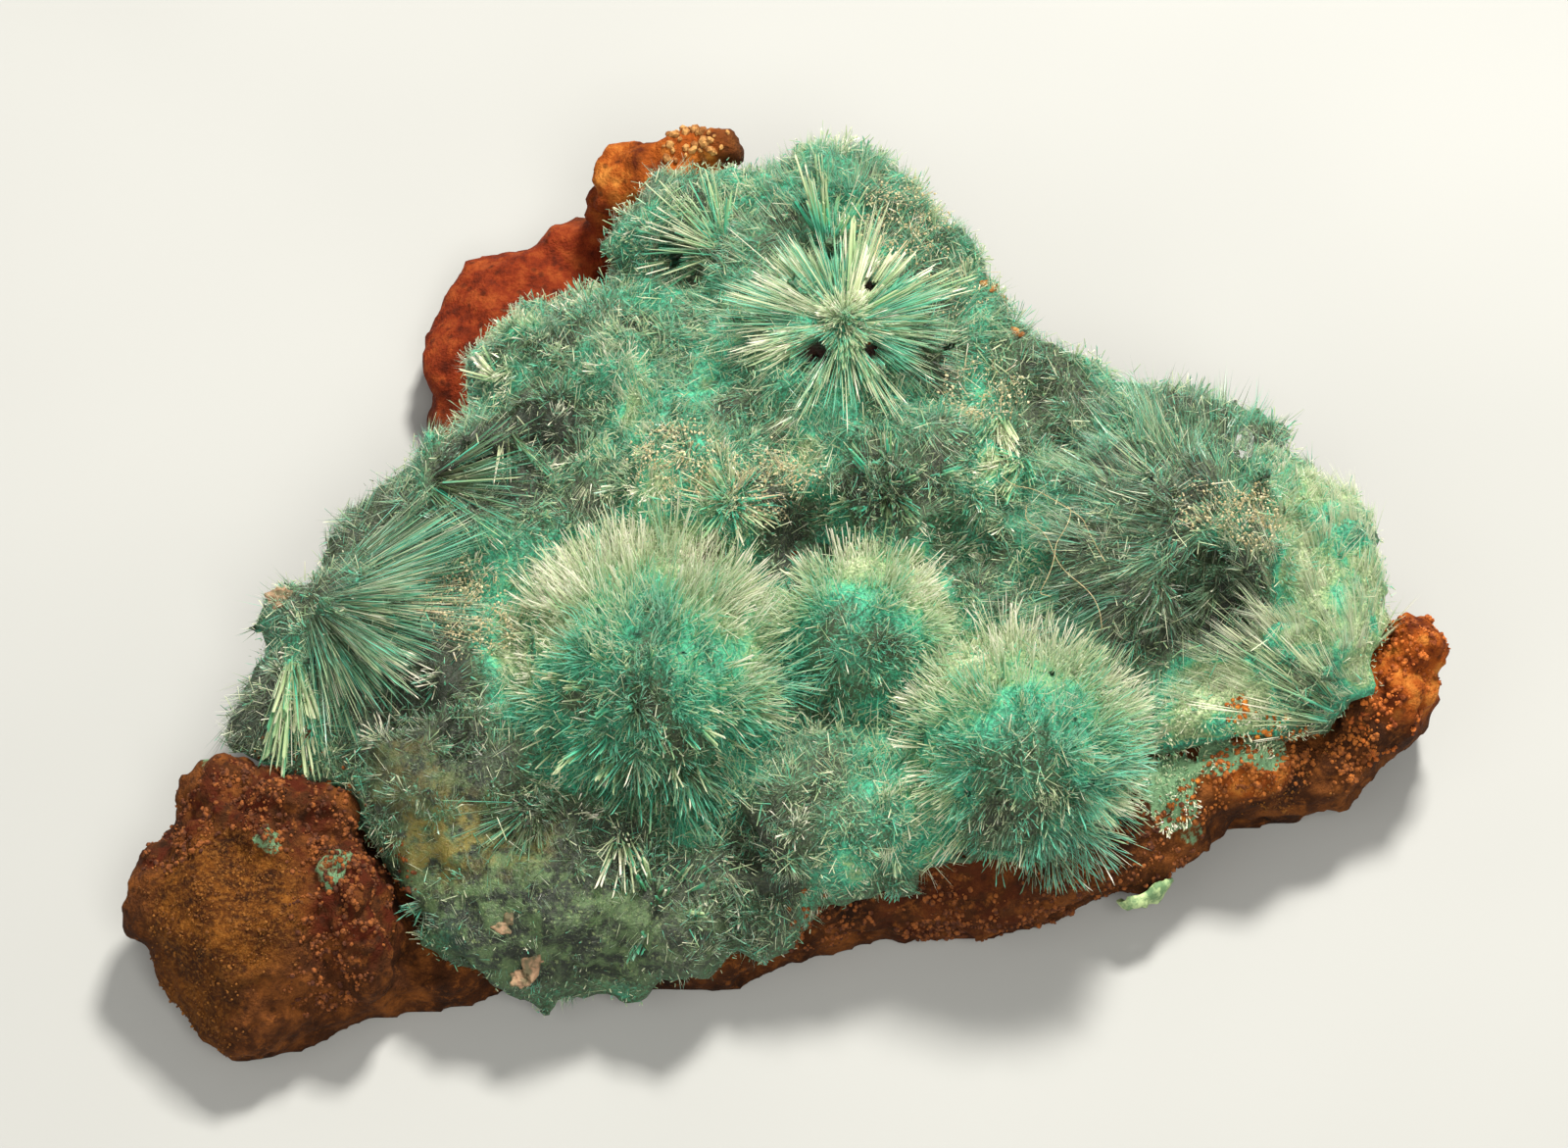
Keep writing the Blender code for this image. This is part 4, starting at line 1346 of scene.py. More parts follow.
def tone_at(points: Array) -> Array:
    """Say which tone the crust has at each place.

    Args:
        points: places in mm.

    Returns:
        A tone from 0 to 1 for each place.
    """
    total, tones = np.full(len(points), PLAIN_WEIGHT), np.full(len(points), PLAIN_WEIGHT * PLAIN_TONE)
    for patch in PATCHES[Kind.TONE]:
        weight = patch.weight(points, PATCH_FADE)
        total += weight
        tones += weight * patch.value
    tone = tones / total
    # Near a dome the tone is the dome's own, with its painted sheen and painted light.
    for dome in DOMES:
        own = dome.tone_of(unit(points - np.array(dome.root)))
        tone = tone + (own - tone) * within_dome(dome, points)
    return tone + clouds_at(points) * CLOUD_DEPTH


def painted_shade_at(points: Array) -> Array:
    """Say how much painted shade the crust takes at each place, from 0 to 1."""
    return np.clip(patch_weight(Kind.GLOOM, points) * (1 + 0.4 * rough_at(points, 1.2, 7.7)), 0, 1)


def parted(rng: Chance, tones: Array, share: float) -> Array:
    """Turn a share of the middling tones into a darker or a paler one, both greyer.

    Args:
        rng: the source of chance.
        tones: tones from 0 to 1.
        share: the share that changes.

    Returns:
        The new tones.
    """
    least, parting, most = MIDDLING
    middling = (tones > least) & (tones < most) & (rng.random(len(tones)) < share)
    return np.where(middling, np.where(tones < parting, DARK_TONE, PALE_TONE), tones)


# ------------------------------------------------------------------ sub-assemblies
@dataclass
class CrustCore:
    """The crust's body, which carries the crystals.

    Depths and rises are in mm. dome_share is where the body ends under a dome's crystals, as a
    share of their reach, and calm how much smoother it is there. The tones of the painted shade and
    of the flank are given, and the shades are painted shade that makes the body darker than the
    felt and the domes.
    """

    voxel: float = 0.45
    smooth: int = 14
    sink: float = 0.45
    hollow_depth: float = 1.6
    pit_depth: float = 1.5
    pale_rise: float = 0.6
    swell: float = 1.1
    dome_share: float = 0.85
    calm: float = 0.7
    lumps: Layers = ((2.8, 8.0, 0.6), (1.3, 0.0, 0.42), (0.7, 4.0, 0.2))
    bare_knobs: Knobs = Knobs(1.1, 0.30, 0.7, 0.6)
    gloom_tone: float = 0.04
    flank_tone: float = 0.12
    felt_shade: float = 0.2
    dome_shade: float = 0.05

    def build(self) -> Thing:
        """Melt the crust's solid into a soft body, drawn back to leave the crystals their length.

        Returns:
            The body.
        """
        obj = skin_of("aurichalcite_crust", "crust_core", self.voxel, self.smooth)
        mesh = obj.data
        points, normals = mesh_points(mesh), mesh_normals(mesh)
        bare = patch_weight(Kind.BARE, points)
        points = points - normals * self.drawn_back(points, normals)[:, None]
        for dome in DOMES:
            points = self.draw_in(points, dome)
        lumps = layered(points, self.lumps) * (1 - self.calm * dome_nearness(points))
        points = points + normals * (lumps + self.bare_knobs.rise(points) * bare)[:, None]
        write_points(mesh, points)
        for kind in (Kind.BARE, Kind.YELLOW):
            write_attribute(mesh, kind.value, patch_weight(kind, points))
        write_attribute(mesh, "pit", pit_weight(points))
        write_attribute(mesh, "tone", self.tone(points, normals))
        return dressed(obj, CrustFinish().make())

    def drawn_back(self, points: Array, normals: Array) -> Array:
        """Say how far the body's skin is drawn back from the solid's.

        Args:
            points: the solid's skin, in mm.
            normals: its normals.

        Returns:
            A depth in mm for each point.
        """
        sink = self.sink * (1 - patch_weight(Kind.BARE, points)) + self.pit_depth * pit_weight(points)
        depths = {Kind.HOLLOW: self.hollow_depth, Kind.PALE: -self.pale_rise, Kind.SWELL: -self.swell}
        for kind, depth in depths.items():
            sink = sink + depth * patch_weight(kind, points)
        return sink * smoothstep(-0.2, 0.2, normals[:, 2])

    def draw_in(self, points: Array, dome: Spray) -> Array:
        """Draw the skin under a dome's crystals in towards its root.

        Args:
            points: the skin, in mm.
            dome: the dome.

        Returns:
            The new places.
        """
        away = points - np.array(dome.root)
        far = np.linalg.norm(away, axis=1)
        limit = dome.reach * self.dome_share
        pull = smoothstep(1.42, 1.18, far / dome.reach) * smoothstep(-0.5, 0.1, away[:, 2] / dome.reach)
        inner = np.minimum(far, limit + (far - limit) * 0.1)
        near = far + (inner - far) * pull
        return np.array(dome.root) + away * (near / np.maximum(far, 1e-6))[:, None]

    def tone(self, points: Array, normals: Array) -> Array:
        """Say which tone the body has: the crystals' own, with painted shade between them and in the shaded
        patches, and darker on the flank.
        """
        tone = tone_at(points)
        tone = tone + (self.gloom_tone - tone) * painted_shade_at(points)
        shade = self.felt_shade * smoothstep(0.62, 0.46, tone)
        tone = tone - shade - (self.dome_shade - shade) * dome_nearness(points)
        return tone + (self.flank_tone - tone) * smoothstep(0.35, -0.15, normals[:, 2])


@dataclass
class LimoniteRock:
    """The brown rock that carries the crust.

    relief is the noise that roughens it. knobs stand on its orange and rusty parts, and crags on
    the rusty ones. calm is how much smoother its earthy parts are.
    """

    voxel: float = 0.3
    smooth: int = 2
    relief: Layers = ((1.9, 0.0, 0.34), (0.9, 3.0, 0.22), (0.45, 6.0, 0.13))
    knobs: Knobs = Knobs(1.25, 0.32, 0.75, 0.7)
    crags: Knobs = Knobs(0.6, 0.2, 0.45, 0.7, 4.0)
    calm: float = 0.6
    red_calm: float = 0.7
    foot_height: float = 0.06
    fade: ClassVar[Span] = (1.2, 0.75)
    zones: ClassVar[dict[str, tuple[Spot, ...]]] = {
        "ochre": spot_rows((-26.6, -18.4, 6, 3.9), (-27.6, -21.2, 3, 3, 0.7), (22, -10.4, 7, 1.8, 0.6)),
        "rust": spot_rows(
            (-24.9, -13.5, 8.3, 3.6), (-20.6, -18.2, 6.4, 3.2), (-29, -14.5, 6, 2.6), (8, -17, 3, 4, 0.5)),
        "orange": spot_rows((30.4, -5.2, 6.6, 3.4), (-7.4, 22.2, 8.4, 4.4), (22, -11.2, 7.2, 2.2, 0.7)),
        "red": spot_rows((-14.2, 16.4, 4.6, 7.2)),
        "film": spot_rows(
            (18, -11.4, 6.4, 1.7), (20.4, -10.3, 7.7, 1.9), (22.8, -10.2, 7.4, 1.5),
            (18.4, -12.8, 5.4, 1.2), (19.4, -13.8, 4.7, 0.8, 0.6), (-22, -17, 7.4, 1.2, 0.62),
            (-20.6, -15, 8, 1.3, 0.62), (-21.4, -16, 7.6, 1.1, 0.6), (-24.6, -15.6, 8, 1, 0.6),
            (-27.6, -11.2, 6.4, 1, 0.6)),
    }

    def zone(self, name: str, points: Array) -> Array:
        """Say how strongly a finish's zones rule each place."""
        return strongest(self.zones[name], points, self.fade)

    def build(self) -> Thing:
        """Melt the rock's solid into a fine skin and roughen it, keeping its foot flat.

        Returns:
            The rock.
        """
        obj = skin_of("limonite_matrix", "limonite_rock", self.voxel, self.smooth)
        mesh = obj.data
        points, normals = mesh_points(mesh), mesh_normals(mesh)
        zone = {name: self.zone(name, points) for name in self.zones}
        earthy = np.clip(zone["ochre"] + zone["red"] * self.red_calm, 0, 1)
        knobbed = np.clip(zone["orange"] + zone["rust"], 0, 1)
        rise = layered(points, self.relief) * (1.0 - self.calm * earthy)
        rise = rise + self.knobs.rise(points) * knobbed + self.crags.rise(points) * zone["rust"]
        rise *= smoothstep(0.0, 0.8, points[:, 2])
        points = points + normals * rise[:, None]
        points[:, 2] = np.where(points[:, 2] < self.foot_height, 0.0, points[:, 2])
        write_points(mesh, points)
        for name in self.zones:
            write_attribute(mesh, name, self.zone(name, points))
        return dressed(obj, LimoniteFinish().make())


@dataclass
class CrystalField:
    """Every crystal of the crust, set out on its core and kept near its solid's skin.

    Places, lengths and widths are in mm, and a number of crystals or sprays is for each square
    millimetre. flank_length is the share of its length that what grows on the outer flank keeps,
    room what may stand out from the solid on its flank and how much more on its top, and shortest
    the length that every cut leaves.
    """

    core: Skin
    rock: Skin
    solid: Skin
    rng: Chance
    fur_dense: float = 66.0
    fur_length: Span = (0.4, 1.3)
    fur_width: Span = (0.035, 0.09)
    felt_sprays: float = 0.7
    felt_count: int = 30
    felt_reach: Span = (0.7, 1.6)
    felt_width: Span = (0.04, 0.12)
    loose_laths: float = 6.5
    lath_length: Span = (0.3, 1.2)
    ledge_dense: float = 46.0
    ledge_length: Span = (0.25, 0.6)
    ledge_width: Span = (0.05, 0.13)
    flank_length: float = 0.32
    parted_share: float = 0.5
    room: Span = (0.06, 0.7)
    shortest: float = 0.2
    glint_share: float = 0.035
    glint_tones: Span = (0.62, 0.8)
    pale_tones: Span = (0.56, 0.7)
    palest_shaded: float = 0.72
    dust_share: float = 0.3
    dust_tone: float = 1.0
    pit_room: Span = (0.35, 1.0)
    front_edge: float = -17.3
    broken_x: float = 17.3
    broken_y: Span = (-16.5, -8.0)
    box_top: float = 17.1

    def open_faces(self) -> Array:
        """Weigh the core's faces: only those that face up or out and lie off the rock grow crystals."""
        facing = smoothstep(-0.35, 0.0, self.core.normals[:, 2])
        return facing * smoothstep(-0.1, 0.5, -self.rock.depth(self.core.middles))

    def felt_weight(self, open_faces: Array) -> Array:
        """Weigh the core's faces for felt: between domes and combs, thin where the crust is bare.

        Args:
            open_faces: how readily each face grows crystals.

        Returns:
            A number from 0 to 1 for each face.
        """
        middles = self.core.middles
        weight = open_faces * (1 - dome_nearness(middles, (1.0, 0.9)))
        for kind, less in ((Kind.BARE, 0.8), (Kind.HOLLOW, 0.6)):
            weight = weight * (1 - less * patch_weight(kind, middles))
        for comb in COMBS:
            weight = weight * (1 - comb.alone * comb.weight(middles))
        return weight

    def kept_length(self, normals: Array) -> Array:
        """Say how much of its length what grows on the crust keeps: all on top, less on the flank."""
        return self.flank_length + (1 - self.flank_length) * smoothstep(0.1, 0.65, normals[:, 2])

    def fur(self, weight: Array) -> Crystals:
        """Cover the skin between the domes with short fine crystals that swirl in soft locks.

        Args:
            weight: how thickly they grow on each of the core's faces.

        Returns:
            The crystals.
        """
        rng = self.rng
        spots, normals = self.core.strew(rng, self.fur_dense, weight)
        count = len(spots)
        swirl = swirl_at(spots, (2.4, 2.4), (0.8, 1.5))
        way = unit(normals * rng.uniform(0.3, 0.9, count)[:, None] + swirl + rng.normal(0.0, 0.2, (count, 3)))
        tufts = rough_at(spots, 0.8, 2.2)
        length = rng.uniform(*self.fur_length, count) * self.kept_length(normals) * (1 + 0.8 * tufts)
        tone = tone_at(spots) - 0.03 + tufts * 0.5 + rng.normal(0.0, 0.12, count)
        tone = parted(rng, tone, self.parted_share)
        width = small_mostly(rng, self.fur_width, count, 1.5)
        foot = spots - normals * ROOTED
        return Crystals.of(Form.NEEDLE, foot, risen(way, normals, 0.12), length, width, tone)

    def felt(self, weight: Array) -> Crystals:
        """Strew small sprays over the skin between the domes.

        Args:
            weight: how thickly they grow on each of the core's faces.

        Returns:
            The crystals.
        """
        rng = self.rng
        roots, normals = self.core.strew(rng, self.felt_sprays, weight)
        sprays = len(roots)
        axes = unit(normals + rng.normal(0.0, 0.4, normals.shape))
        reaches = rng.uniform(*self.felt_reach, sprays) * self.kept_length(normals)
        tones = tone_at(roots) + rng.normal(0.02, 0.16, sprays)
        owner = np.repeat(np.arange(sprays), self.felt_count)
        count = len(owner)
        way = unit(axes[owner] + unit(rng.normal(size=(count, 3))) * rng.uniform(0.2, 1.15, count)[:, None])
        way = pushed_up(way, normals[owner], 0.02, 0.5)
        length = reaches[owner] * rng.uniform(0.5, 1.0, count)
        foot = roots[owner] - normals[owner] * 0.25 + way * (length * 0.1)[:, None]
        foot = foot + rng.normal(0.0, 0.14, foot.shape)
        width = small_mostly(rng, self.felt_width, count)
        tone = parted(rng, tones[owner] + rng.normal(0.0, 0.06, count), self.parted_share)
        return Crystals.of(Form.BLUNT, foot, way, length, width, tone)

    def laths(self, open_faces: Array) -> Crystals:
        """Strew longer, paler laths that lie loosely on the felt.

        Args:
            open_faces: how readily each of the core's faces grows crystals.

        Returns:
            The crystals.
        """
        rng = self.rng
        bare = patch_weight(Kind.BARE, self.core.middles)
        spots, normals = self.core.strew(rng, self.loose_laths, open_faces * (1 - 0.9 * bare))
        count = len(spots)
        way = unit(normals * rng.uniform(0.1, 0.7, count)[:, None] + unit(rng.normal(size=(count, 3))))
        way = pushed_up(way, normals, 0.1, 0.9)
        foot = spots + normals * (rng.uniform(0.0, 0.6, count) * self.kept_length(normals))[:, None]
        tone = rng.uniform(0.42, 0.8, count)
        width = small_mostly(rng, self.felt_width, count, 1.8)
        length = small_mostly(rng, self.lath_length, count) * self.kept_length(normals)
        return Crystals.of(Form.LATH, foot, way, length, width, tone)

    def ledge(self, open_faces: Array) -> Crystals:
        """Cover the ledge with small pale crystals, on the crust and on the rock.

        Args:
            open_faces: how readily each of the core's faces grows crystals.

        Returns:
            The crystals.
        """
        rng = self.rng
        strewn = [skin.strew(rng, self.ledge_dense, patch_weight(Kind.LEDGE, skin.middles) * readily)
                  for skin, readily in ((self.core, open_faces), (self.rock, 1.0))]
        spots, normals = (np.concatenate(pair) for pair in zip(*strewn))
        count = len(spots)
        way = unit(normals * 0.6 + swirl_at(spots, (0.9, 2.4)) + rng.normal(0.0, 0.35, (count, 3)))
        tone = 0.62 + rough_at(spots, 0.8, 3.3) * 0.3 + rng.normal(0.0, 0.07, count)
        length = rng.uniform(*self.ledge_length, count)
        width = rng.uniform(*self.ledge_width, count)
        return Crystals.of(Form.BLUNT, spots - normals * 0.12, risen(way, normals, 0.1), length, width, tone)

    def shorten(self, crystals: Crystals, over: Array, slope: Array) -> None:
        """Cut back crystals that go over a limit; slope is how fast each one nears it."""
        crystals.length = np.maximum(crystals.length - over / slope, self.shortest)

    def trimmed(self, crystals: Crystals) -> Crystals:
        """Shorten what stands out from the crust's solid, most of all on its flank."""
        depth, normals = self.solid.nearest(crystals.tips)
        room = self.room[0] + self.room[1] * smoothstep(0.35, 0.92, normals[:, 2])
        slope = np.maximum(np.sum(crystals.way * normals, axis=1), 0.35)
        self.shorten(crystals, np.maximum(-depth - room, 0.0), slope)
        return crystals

    def off_the_rock(self, crystals: Crystals) -> Crystals:
        """Keep the domes' crystals from hanging over the rock in front."""
        over = np.maximum(self.front_edge - crystals.tips[:, 1], 0.0)
        self.shorten(crystals, over, np.maximum(-crystals.way[:, 1], 0.3))
        return crystals.pick(crystals.tips[:, 1] > self.front_edge - 0.4)

    def broken_edge(self, crystals: Crystals) -> Crystals:
        """Cut the right dome off along its broken side."""
        tip_x, tip_y, _ = crystals.tips.T
        foot_x = crystals.foot[:, 0]
        along = (tip_y > self.broken_y[0]) & (tip_y < self.broken_y[1])
        over = along & (tip_x > self.broken_x) & (foot_x < self.broken_x)
        room = (self.broken_x - foot_x) / np.maximum(crystals.way[:, 0], 1e-3)
        crystals.length = np.where(over, np.maximum(room, 0.3), crystals.length)
        return crystals

    def lowered(self, crystals: Crystals) -> Crystals:
        """Keep every tip under the top of the solids' box."""
        room = (self.box_top - crystals.foot[:, 2]) / np.maximum(crystals.way[:, 2], 0.05)
        crystals.length = np.minimum(crystals.length, np.maximum(room, self.shortest))
        return crystals

    def around_pits(self, crystals: Crystals) -> Crystals:
        """Cut the crystals that would cover the crust's open pits, and keep the longer part.

        Args:
            crystals: the crystals.

        Returns:
            What is left of them.
        """
        for pit in PATCHES[Kind.PIT]:
            toward = np.array(pit.place) - crystals.foot
            toward = toward - np.outer(toward @ TOWARDS_EYE, TOWARDS_EYE)
            way = crystals.way - np.outer(crystals.way @ TOWARDS_EYE, TOWARDS_EYE)
            across = np.maximum(np.sum(way * way, axis=1), 1e-6)
            middle = np.sum(toward * way, axis=1) / across
            offset = np.linalg.norm(toward - way * middle[:, None], axis=1)
            room = pit.radius * self.rng.uniform(*self.pit_room, len(crystals))
            half = np.sqrt(np.maximum(room ** 2 - offset ** 2, 0.0) / across)
            before = np.clip(middle - half, 0.0, crystals.length)
            after = np.clip(middle + half, 0.0, crystals.length)
            cut = (half > 0.0) & (middle + half > 0.0) & (middle - half < crystals.length)
            start = np.where(cut & (crystals.length - after > before), after, 0.0)
            end = np.where(cut & (start == 0.0), before, crystals.length)
            crystals.foot = crystals.foot + crystals.way * start[:, None]
            crystals.length = end - start
            crystals = crystals.pick(crystals.length > 0.15)
        return crystals

    def toned(self, crystals: Crystals) -> Crystals:
        """Paint shade on the crystals in the shaded hollows, paint glints on a share of them as pale tones,
        and turn those in the dusty patches towards tan.

        Args:
            crystals: the crystals.

        Returns:
            The same crystals, in their last tones.
        """
        rng, count = self.rng, len(crystals)
        # Painted shade: crystals in the shaded patches, all but the palest, take a much darker tone.
        dim = (crystals.tone < self.palest_shaded) & (rng.random(count) < painted_shade_at(crystals.at(0.5)) * 1.25)
        tone = np.where(dim, 0.03 + 0.16 * crystals.tone, crystals.tone)
        # Painted glints: a share of the crystals take pale tones that stand in for highlights.
        tone = np.where(rng.random(count) < self.glint_share, rng.uniform(*self.glint_tones, count), tone)
        pale = rng.random(count) < patch_weight(Kind.PALE, crystals.tips) * 0.8
        tone = np.where(pale, rng.uniform(*self.pale_tones, count), np.clip(tone, 0.0, 0.8))
        dusty = rng.random(count) < patch_weight(Kind.DUST, crystals.tips) * self.dust_share
        crystals.tone = np.where(dusty, self.dust_tone, tone)
        return crystals

    def all(self) -> Crystals:
        """Set out every crystal and drop those that lie inside the rock or the crust.

        Returns:
            The crystals.
        """
        open_faces = self.open_faces()
        felt_weight = self.felt_weight(open_faces)
        domes = Crystals.join([spray.crystals(self.rng) for spray in DOMES + DOME_LATHS])
        domes = self.off_the_rock(domes.pick(domes.way[:, 2] > -0.12))
        sets = [spray.crystals(self.rng) for spray in SPRAYS]
        sets += [comb.crystals(self.rng, self.core, open_faces) for comb in COMBS]
        sets += [self.fur(felt_weight), self.felt(felt_weight), self.laths(open_faces)]
        crystals = Crystals.join([domes, self.trimmed(Crystals.join(sets))])
        on_ledge = patch_weight(Kind.LEDGE, crystals.foot) > 0.5
        crystals = Crystals.join([crystals.pick(~on_ledge), self.ledge(open_faces)])
        crystals = self.around_pits(self.lowered(self.broken_edge(crystals)))
        tips = crystals.tips
        buried = (self.core.depth(tips) > -0.1) | (self.rock.depth(tips) > -0.05) | (tips[:, 2] < 0.4)
        return self.toned(crystals.pick(~buried))


class Region(Enum):
    """Parts of the crust, each with the place its crystals gather round."""

    LEFT_DOME = (-7.4, -7.0)
    RIGHT_DOME = (11.0, -12.0)
    SADDLE = (3.0, -4.5)
    STAR = (2.6, 10.4)
    TOP = (0.0, 18.0)
    MIDDLE = (3.5, 2.8)
    UPPER_LEFT = (-10.0, 6.5)
    LEFT_WING = (-19.0, -4.0)
    FRONT = (-8.0, -16.5)
    RIGHT_WING = (17.0, 2.0)
    RIGHT_BAND = (25.0, -4.5)


def join_pieces(name: str, parts: list[Thing]) -> Thing:
    """Join plain meshes into one piece."""
    with bpy.context.temp_override(active_object=parts[0], selected_editable_objects=parts):
        bpy.ops.object.join()
    parts[0].name = name
    parts[0].data.name = name
    return parts[0]


def build_crystals(crystals: Crystals, rng: Chance) -> list[Thing]:
    """Grow the crust's crystals, one piece for each region.

    Args:
        crystals: the crystals.
        rng: the source of chance.

    Returns:
        The pieces.
    """
    centres = np.array([region.value for region in Region])
    near = np.linalg.norm(crystals.foot[:, None, :2] - centres[None], axis=2).argmin(axis=1)
    fluff = NeedleFinish().make()
    glassy = NeedleFinish("aurichalcite_laths", 0.4, 0.3, 0.7, see_through=0.4, light_reach=0.8).make()
    grower = CrystalGrower({Form.NEEDLE: fluff, Form.BLUNT: fluff, Form.LATH: glassy}, rng)
    pieces = []
    for index, region in enumerate(Region):
        name = f"crystals_{region.name.lower()}"
        parts = []
        for place, form in enumerate(Form):
            own = crystals.pick((near == index) & (crystals.form == place))
            LOG.info("%s %s: %d", region.name, form.name, len(own))
            if len(own):
                parts.append(grower.grow(f"{name}_{form.name.lower()}", own, form))
        pieces.append(join_pieces(name, parts))
    return pieces


def grains_at(finish: GrainFinish, places: Array, sizes: Span, rng: Chance, tree: GrainTree) -> Thing:
    """Put a rough grain at every place.

    Args:
        finish: the grains' finish, whose name the piece takes.
        places: the grains' middles in mm.
        sizes: the least and the greatest grain in mm.
        rng: the source of chance.
        tree: the tree that grows them.

    Returns:
        The piece.
    """
    wide = small_mostly(rng, sizes, len(places), 1.8)
    points = point_cloud(finish.name, places, size=wide[:, None] * rng.uniform(0.65, 1.25, places.shape) * MM,
                         turn=rng.uniform(-math.pi, math.pi, places.shape))
    return tree.grow_on(points, {"Radius": 0.5, "Finish": finish.make()})


@dataclass(frozen=True)
class Grains:
    """Grains of one kind that lie round some spots.

    per_mm2 is how thickly the grains lie at a spot's middle, size the least and the greatest
    grain in mm, and patchy how much of the spots they leave free.
    """

    name: str
    dark: Colour
    pale: Colour
    per_mm2: float
    size: Span
    spots: tuple[Spot, ...]
    patchy: float = 0.0
    fade: ClassVar[Span] = (1.15, 0.6)

    def weight(self, points: Array) -> Array:
        """Say how thickly the grains lie at each place, from 0 to 1."""
        cover = rough_at(points, 1.1, 2.4) + 0.4 * (1.0 - self.patchy)
        return strongest(self.spots, points, self.fade) * smoothstep(-0.1, 0.25, cover)

    def build(self, rng: Chance, skins: Iterable[Skin], tree: GrainTree) -> Thing:
        """Strew the grains over the skins.

        Args:
            rng: the source of chance.
            skins: the skins.
            tree: the tree that grows the grains.

        Returns:
            The piece.
        """
        picked = [skin.strew(rng, self.per_mm2, self.weight(skin.middles)) for skin in skins]
        places = np.concatenate([spots + normals * 0.03 for spots, normals in picked])
        finish = GrainFinish(self.name, self.dark, self.pale)
        return grains_at(finish, places[places[:, 2] > self.size[1]], self.size, rng, tree)


GRAINS = (
    Grains("rust_grains", srgb(66, 30, 10), srgb(132, 74, 28), 20, (0.08, 0.36),
           spot_rows((-24.9, -12.6, 8, 3.2), (-20.6, -17.6, 6.8, 3.2), (-22.4, -14.2, 7.8, 2.6),
                     (-29, -14.5, 6, 2.4), (-22, -20.6, 4.6, 2.6), (2, -18.2, 3.6, 2.4),
                     (8, -17.6, 2.6, 3), (13, -15.8, 3, 3), (17.6, -14.2, 4.2, 2.4)), 0.6),
    Grains("ochre_grains", srgb(84, 46, 8), srgb(126, 78, 22), 16, (0.06, 0.2),
           spot_rows((-26.6, -18.4, 6, 4.4), (-27.6, -21.2, 3, 3.4), (24, -11, 5.4, 2.6)), 0.7),
    Grains("orange_grains", srgb(140, 72, 14), srgb(204, 128, 46), 34, (0.1, 0.36),
           spot_rows((21.5, -8.9, 8.4, 0.75), (18.4, -9.6, 8.2, 0.5), (17.9, -10.9, 8.4, 0.5),
                     (20.3, -10.7, 7.2, 0.6), (19.2, -11.7, 6.6, 0.55), (23.4, -9.6, 8, 0.7),
                     (22.4, -10.2, 7.6, 0.6), (18.9, -13.4, 5.4, 0.4), (17.4, -12.4, 6.2, 0.4))),
    Grains("lip_grains", srgb(112, 50, 12), srgb(180, 98, 34), 18, (0.1, 0.36),
           spot_rows((30.4, -5, 7.2, 2.2), (29, -8.6, 6.2, 2.2), (30.6, -3.6, 6, 1.6)), 0.6),
    Grains("ledge_grains", srgb(100, 52, 14), srgb(160, 92, 32), 20, (0.1, 0.36),
           spot_rows((21.6, -11.6, 6.8, 2), (19.4, -12.8, 5.8, 1.4), (24.6, -10.6, 6.6, 1.6),
                     (27.4, -10, 5.6, 1.8))),
    Grains("tan_grains", srgb(122, 74, 30), srgb(184, 136, 78), 8, (0.2, 0.6),
           spot_rows((-5.6, 23.2, 10, 1.3), (-4.2, 22.6, 10.6, 1.1), (-1.6, 21.8, 11.6, 0.9),
                     (10.2, 13.6, 10.6, 1), (11.4, 10.6, 10.4, 0.8))),
    Grains("pit_specks", srgb(52, 20, 6), srgb(140, 72, 22), 22, (0.1, 0.26),
           spot_rows((4, 12.6, 12.6, 0.8), (3.9, 9, 12.3, 0.6), (3.4, 9.7, 12.9, 0.5),
                     (1.2, 9, 12.2, 0.3))),
)


@dataclass(frozen=True)
class Dust:
    """Tan dust caught among the crystals' tips."""

    finish: GrainFinish = GrainFinish("tan_dust", srgb(170, 154, 112), srgb(220, 208, 172))
    most: int = 3900
    size: Span = (0.06, 0.15)

    def build(self, rng: Chance, crystals: Crystals, tree: GrainTree) -> Thing:
        """Set grains on the upper parts of the crystals in the dusty patches.

        Args:
            rng: the source of chance.
            crystals: the crystals.
            tree: the tree that grows the grains.

        Returns:
            The piece.
        """
        chance = patch_weight(Kind.DUST, crystals.tips) * (crystals.way[:, 2] > 0.0)
        picked = rng.choice(len(crystals), self.most, p=chance / chance.sum())
        share = rng.uniform(0.75, 1.0, self.most) * crystals.length[picked]
        places = crystals.foot[picked] + crystals.way[picked] * share[:, None]
        return grains_at(self.finish, places, self.size, rng, tree)


@dataclass(frozen=True)
class PinkLumps:
    """Rough pinkish lumps that sit in the crust; each has a place and half its sizes."""

    finish: GrainFinish = GrainFinish("pink_lumps", srgb(92, 86, 62), srgb(164, 132, 104), 0.7)
    relief: Layers = ((0.9, 0.0, 0.6), (0.3, 0.0, 0.3))
    lumps: tuple[tuple[Vec3, Vec3], ...] = (
        ((-24.6, -2.9, 8.5), (0.6, 0.6, 0.5)),
        ((-12.5, -18.5, 6.3), (1.1, 0.9, 0.36)),
        ((-13.3, -19.2, 6.0), (0.7, 0.5, 0.3)),
        ((-12.1, -20.3, 4.75), (0.5, 1.1, 0.32)),
        ((-12.7, -21.3, 4.4), (0.5, 0.4, 0.26)),
    )

    def build(self) -> Thing:
        """Shape every lump from a ball and roughen it.

        Returns:
            The piece.
        """
        bm = bmesh.new()
        for spot, size in self.lumps:
            ball = bmesh.ops.create_icosphere(bm, subdivisions=4, radius=1.0)["verts"]
            points = np.array([vert.co for vert in ball])
            rise = 1 + layered(points + np.array(spot), self.relief)
            points = np.array(spot) + points * rise[:, None] * np.array(size)
            for vert, point in zip(ball, points):
                vert.co = Vector(point) * MM
        name = self.finish.name
        return dressed(new_object(name, mesh_from(bm, name)), self.finish.make())


